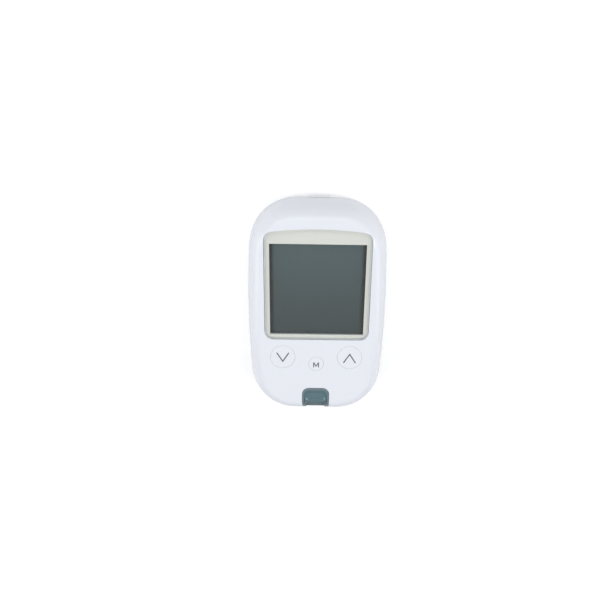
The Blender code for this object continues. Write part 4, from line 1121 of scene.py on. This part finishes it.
def make_spring(number, wide_low):
    """A wire coil between a cell and its contact, wide at the contact."""
    low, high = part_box(f"battery_spring_{number}")
    cell_low, cell_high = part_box(f"battery_{number}")
    x, z = (cell_low.x + cell_high.x) / 2, (low.z + high.z) / 2
    steps = SPRING_TURNS * SMALL_ROUND_STEPS
    bpy.ops.object.select_all(action="DESELECT")
    bpy.ops.curve.primitive_nurbs_path_add()
    coil = bpy.context.object
    coil.name = f"cell_spring_{number}"
    line = coil.data
    line.splines.clear()
    line.bevel_depth = WIRE_RADIUS
    line.bevel_resolution = ROUNDING_STEPS
    line.use_fill_caps = True
    wire = line.splines.new("POLY")
    wire.points.add(steps)
    reach = high.y - low.y - 2 * WIRE_RADIUS
    for step, point in enumerate(wire.points):
        share = step / steps
        narrow = share if wide_low else 1 - share
        radius = SPRING_WIDE + (SPRING_NARROW - SPRING_WIDE) * narrow
        turn = 2 * math.pi * SPRING_TURNS * share
        y = low.y + WIRE_RADIUS + reach * share
        point.co = (x + radius * math.cos(turn), y, z + radius * math.sin(turn), 1)
    alone(coil)
    bpy.ops.object.convert(target="MESH")
    bpy.ops.object.transform_apply()
    bpy.ops.object.mode_set(mode="EDIT")
    bpy.ops.mesh.select_all(action="SELECT")
    bpy.ops.mesh.remove_doubles(threshold=WIRE_RADIUS / 100)
    bpy.ops.mesh.normals_make_consistent(inside=False)
    bpy.ops.object.mode_set(mode="OBJECT")
    finished(coil, "meter", METAL, [f"battery_spring_{number}"])


def make_screw(number, x, y, low, high):
    """A pan head with a cross recess and a plain shank, head down."""
    head_top = low + SCREW_HEAD_HEIGHT
    rim = edge_curve(SCREW_HEAD_HEIGHT / 3)
    profile = [(SCREW_HEAD_RADIUS - inset, low + rise) for rise, inset in rim]
    profile += [(SCREW_HEAD_RADIUS, head_top), (SCREW_SHANK_RADIUS, head_top), (SCREW_SHANK_RADIUS, high)]
    screw = turned(f"case_screw_{number}", x, y, profile, SMALL_ROUND_STEPS)
    wide, long = CROSS_HALF_WIDTH, CROSS_HALF_LENGTH
    bottom, top = low - OVERRUN, low + CROSS_DEPTH
    cut(screw, block("cutter", (x - long, y - wide, bottom), (x + long, y + wide, top)))
    cut(screw, block("cutter", (x - wide, y - long, bottom), (x + wide, y + long, top)))
    finished(screw, "meter", METAL, [f"cover_screw_{number}"])


# Data port, label and set button


def make_flap():
    """The data port cover: a rubber plug that stands proud of the end, with a sloping strap end."""
    corner = FLAP_CORNER / 2
    outer, inner = FLAP_HIGH.y, FLAP_LOW.y
    outline = (
        (FLAP_LOW.x, inner),
        (FLAP_HIGH.x, inner),
        (FLAP_HIGH.x, outer - corner),
        (FLAP_HIGH.x - corner, outer),
        (FLAP_LOW.x + FLAP_SLOPE, outer),
        (FLAP_LOW.x, outer - FLAP_CORNER),
    )
    flap = prism(outline, FLAP_LOW.z, FLAP_HIGH.z)
    flap.name = "port_flap"
    form = edge_rings(REAR_RIM, 0, -FLAP_STAND, EDGE_INSET, INSIDE_STEPS)
    combine(flap, lofted("form", form), "INTERSECT")
    alone(flap)
    step = flap.modifiers.new("edges", "BEVEL")
    step.width = FLAP_ROUNDING
    step.segments = BEVEL_STEPS
    step.limit_method = "ANGLE"
    bpy.ops.object.modifier_apply(modifier=step.name)
    finished(flap, "port_cover", RUBBER, ["data_port_cover"])


def make_jack():
    flange_low = (JACK_LOW.x, JACK_HIGH.y - JACK_FLANGE, FLAP_LOW.z)
    jack = block("jack_body", flange_low, (JACK_HIGH.x, JACK_HIGH.y, FLAP_HIGH.z), JACK_ROUNDING)
    x, z = (JACK_LOW.x + JACK_HIGH.x) / 2, (FLAP_LOW.z + FLAP_HIGH.z) / 2
    left, right = x - JACK_HALF_WIDTH, x + JACK_HALF_WIDTH
    barrel_high = (right, JACK_HIGH.y - JACK_FLANGE / 2, z + JACK_HALF_HEIGHT)
    join(jack, block("barrel", (left, JACK_LOW.y, z - JACK_HALF_HEIGHT), barrel_high))
    riser_high = (right, JACK_LOW.y + JACK_RISER_LENGTH, JACK_HIGH.z)
    join(jack, block("riser", (left, JACK_LOW.y, z), riser_high))
    bore = turned("cutter", 0, 0, ((JACK_BORE_RADIUS, 0), (JACK_BORE_RADIUS, JACK_BORE_DEPTH + OVERRUN)))
    cut(jack, lay(bore, (x, JACK_HIGH.y - JACK_BORE_DEPTH, z), (-math.pi / 2, 0, 0)))
    finished(jack, "meter", BLACK, ["data_jack"])


def make_label():
    label = slab("label_plate", label_outline, LABEL_LOW.z, LABEL_HIGH.z)
    finished(label, "meter", FILM, ["rating_label"])


# Pieces of the frame that keep their own shape
KEPT_FINISHES = {
    "display_holder": INNER,
    "elastomer_connector": ELASTOMER,
    "circuit_board": BOARD,
    "processor_chip": BLACK,
    "memory_chip": BLACK,
    "crystal": METAL,
    "buzzer": BLACK,
    "key_switch_down": BLACK,
    "key_switch_mode": BLACK,
    "key_switch_up": BLACK,
    "switch_stem_down": INNER,
    "switch_stem_mode": INNER,
    "switch_stem_up": INNER,
    "ejector_slide": INNER,
    "strip_connector": BLACK,
    "strip_contact_1": BRASS,
    "strip_contact_2": BRASS,
    "strip_contact_3": BRASS,
    "strip_contact_4": BRASS,
    "contact_bridge": METAL,
    "contact_plus": METAL,
    "contact_minus": METAL,
    "set_button": TEAL,
    "set_switch": BLACK,
    "set_switch_stem": INNER,
}


def finish_kept_nodes():
    for name, finish in KEPT_FINISHES.items():
        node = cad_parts[name]
        node.data.materials.clear()
        node.data.materials.append(finish)


# Floor, light and camera

FLOOR_SIZE = 6.0
FLOOR_COLOR = (0.86, 0.86, 0.86)
FLOOR_ROUGHNESS = 0.9
FLOOR_SPECULAR = 0.1
FLOOR_GLOW = (0.26, 1.0)
FLOOR_GLOW_SPAN = (0.4, 1.4)
AIR_COLOR = (0.97, 0.985, 1.0)
AIR_STRENGTH = 0.38
PAPER_WHITE = (1.0, 1.0, 1.0)

# Lamps: name, place, aim, width, length, power in watts
LAMPS = (
    ("overhead softbox", (0.0, 0.15, 0.9), (0.0, 0.15, 0.0), 1.5, 1.5, 2.15),
    ("top end softbox", (-0.15, 0.7, 0.75), (0.0, 0.0, 0.0), 1.2, 0.5, 2.5),
    ("left softbox", (-0.75, -0.095, 0.55), (0.0, -0.095, 0.55), 0.58, 0.9, 2.7),
    ("right softbox", (0.75, -0.095, 0.55), (0.0, -0.095, 0.55), 0.58, 0.9, 2.7),
    ("left key lamp", (-0.58, 0.02, 0.85), (0.0, 0.0, 0.0), 0.2, 0.2, 0.75),
    ("right key lamp", (0.58, 0.02, 0.85), (0.0, 0.0, 0.0), 0.22, 0.22, 1.3),
)


def white_to_the_eye(tree):
    """A factor that is 1 for what the eye sees directly or through glass, and 0 for light and gloss."""
    path = tree.nodes.new("ShaderNodeLightPath").outputs
    direct = calculated(tree, "LESS_THAN", path["Diffuse Depth"], 0.5)
    through = calculated(tree, "MULTIPLY", path["Is Transmission Ray"], direct)
    return calculated(tree, "MAXIMUM", path["Is Camera Ray"], through)


def make_floor():
    bpy.ops.object.select_all(action="DESELECT")
    bpy.ops.mesh.primitive_plane_add(size=FLOOR_SIZE)
    floor = bpy.context.object
    floor.name = "floor"
    made, tree, shader, place = new_material("pale floor")
    brightness = ranged(tree, length_of(tree, place), FLOOR_GLOW_SPAN, FLOOR_GLOW)
    feed(tree, shader, {
        "Base Color": FLOOR_COLOR,
        "Roughness": FLOOR_ROUGHNESS,
        "Specular IOR Level": FLOOR_SPECULAR,
        "Emission Color": PAPER_WHITE,
        "Emission Strength": calculated(tree, "MULTIPLY", white_to_the_eye(tree), brightness),
    })
    floor.data.materials.append(made)


def make_world():
    """Plain studio air: soft light on the object and white to the eye."""
    world = bpy.data.worlds.new("studio")
    bpy.context.scene.world = world
    world.use_nodes = True
    tree = world.node_tree
    sky = tree.nodes["Background"]
    feed(tree, sky, {"Color": AIR_COLOR, "Strength": AIR_STRENGTH})
    white = tree.nodes.new("ShaderNodeBackground")
    feed(tree, white, {"Color": PAPER_WHITE})
    mix_shaders(tree, white_to_the_eye(tree), sky, white, "World Output")


def add_softbox(name, place, aim, width, length, power):
    """A rectangular lamp that faces a point."""
    bpy.ops.object.select_all(action="DESELECT")
    bpy.ops.object.light_add(type="AREA", location=place)
    lamp = bpy.context.object
    lamp.name = name
    lamp.data.shape = "RECTANGLE"
    lamp.data.size = width
    lamp.data.size_y = length
    lamp.data.energy = power
    lamp.rotation_euler = (Vector(aim) - Vector(place)).to_track_quat("-Z", "Y").to_euler()


def make_camera():
    bpy.ops.object.select_all(action="DESELECT")
    bpy.ops.object.camera_add()
    camera = bpy.context.object
    tilt, yaw, roll = CAMERA_TILT, CAMERA_YAW, CAMERA_ROLL
    back = Vector((math.sin(yaw) * math.cos(tilt), math.sin(tilt), math.cos(tilt) * math.cos(yaw)))
    back.normalize()
    right = Vector((0, 1, 0)).cross(back).normalized()
    upward = back.cross(right)
    rolled_right = right * math.cos(roll) + upward * math.sin(roll)
    rolled_up = upward * math.cos(roll) - right * math.sin(roll)
    turn = Matrix((rolled_right, rolled_up, back)).transposed().to_4x4()
    target = Vector((0, BODY_Y, TARGET_Z))
    camera.matrix_world = Matrix.Translation(target + back * CAMERA_DISTANCE) @ turn
    camera.data.sensor_width = SENSOR_WIDTH
    camera.data.lens = FOCAL_PIXELS / PHOTO_WIDTH * SENSOR_WIDTH
    camera.data.shift_x = 0.5 - TARGET_PIXEL[0] / PHOTO_WIDTH
    camera.data.shift_y = TARGET_PIXEL[1] / PHOTO_WIDTH - 0.5
    camera.data.clip_start = CAMERA_DISTANCE / 100
    camera.data.clip_end = 100 * CAMERA_DISTANCE
    bpy.context.scene.camera = camera


def make_studio():
    bpy.context.scene.view_settings.view_transform = "Standard"
    make_floor()
    make_world()
    for lamp in LAMPS:
        add_softbox(*lamp)
    make_camera()


def main():
    make_front_cover()
    make_rear_cover()
    make_battery_door()
    make_display()
    for name, radius in KEYS.items():
        make_key(name, radius)
    make_legends()
    make_strip_port()
    make_ejector()
    make_cell(1, True)
    make_cell(2, False)
    make_spring(1, True)
    make_spring(2, False)
    for number, place in enumerate(screw_places(), 1):
        make_screw(number, *place)
    make_flap()
    make_jack()
    make_label()
    finish_kept_nodes()
    make_studio()


main()
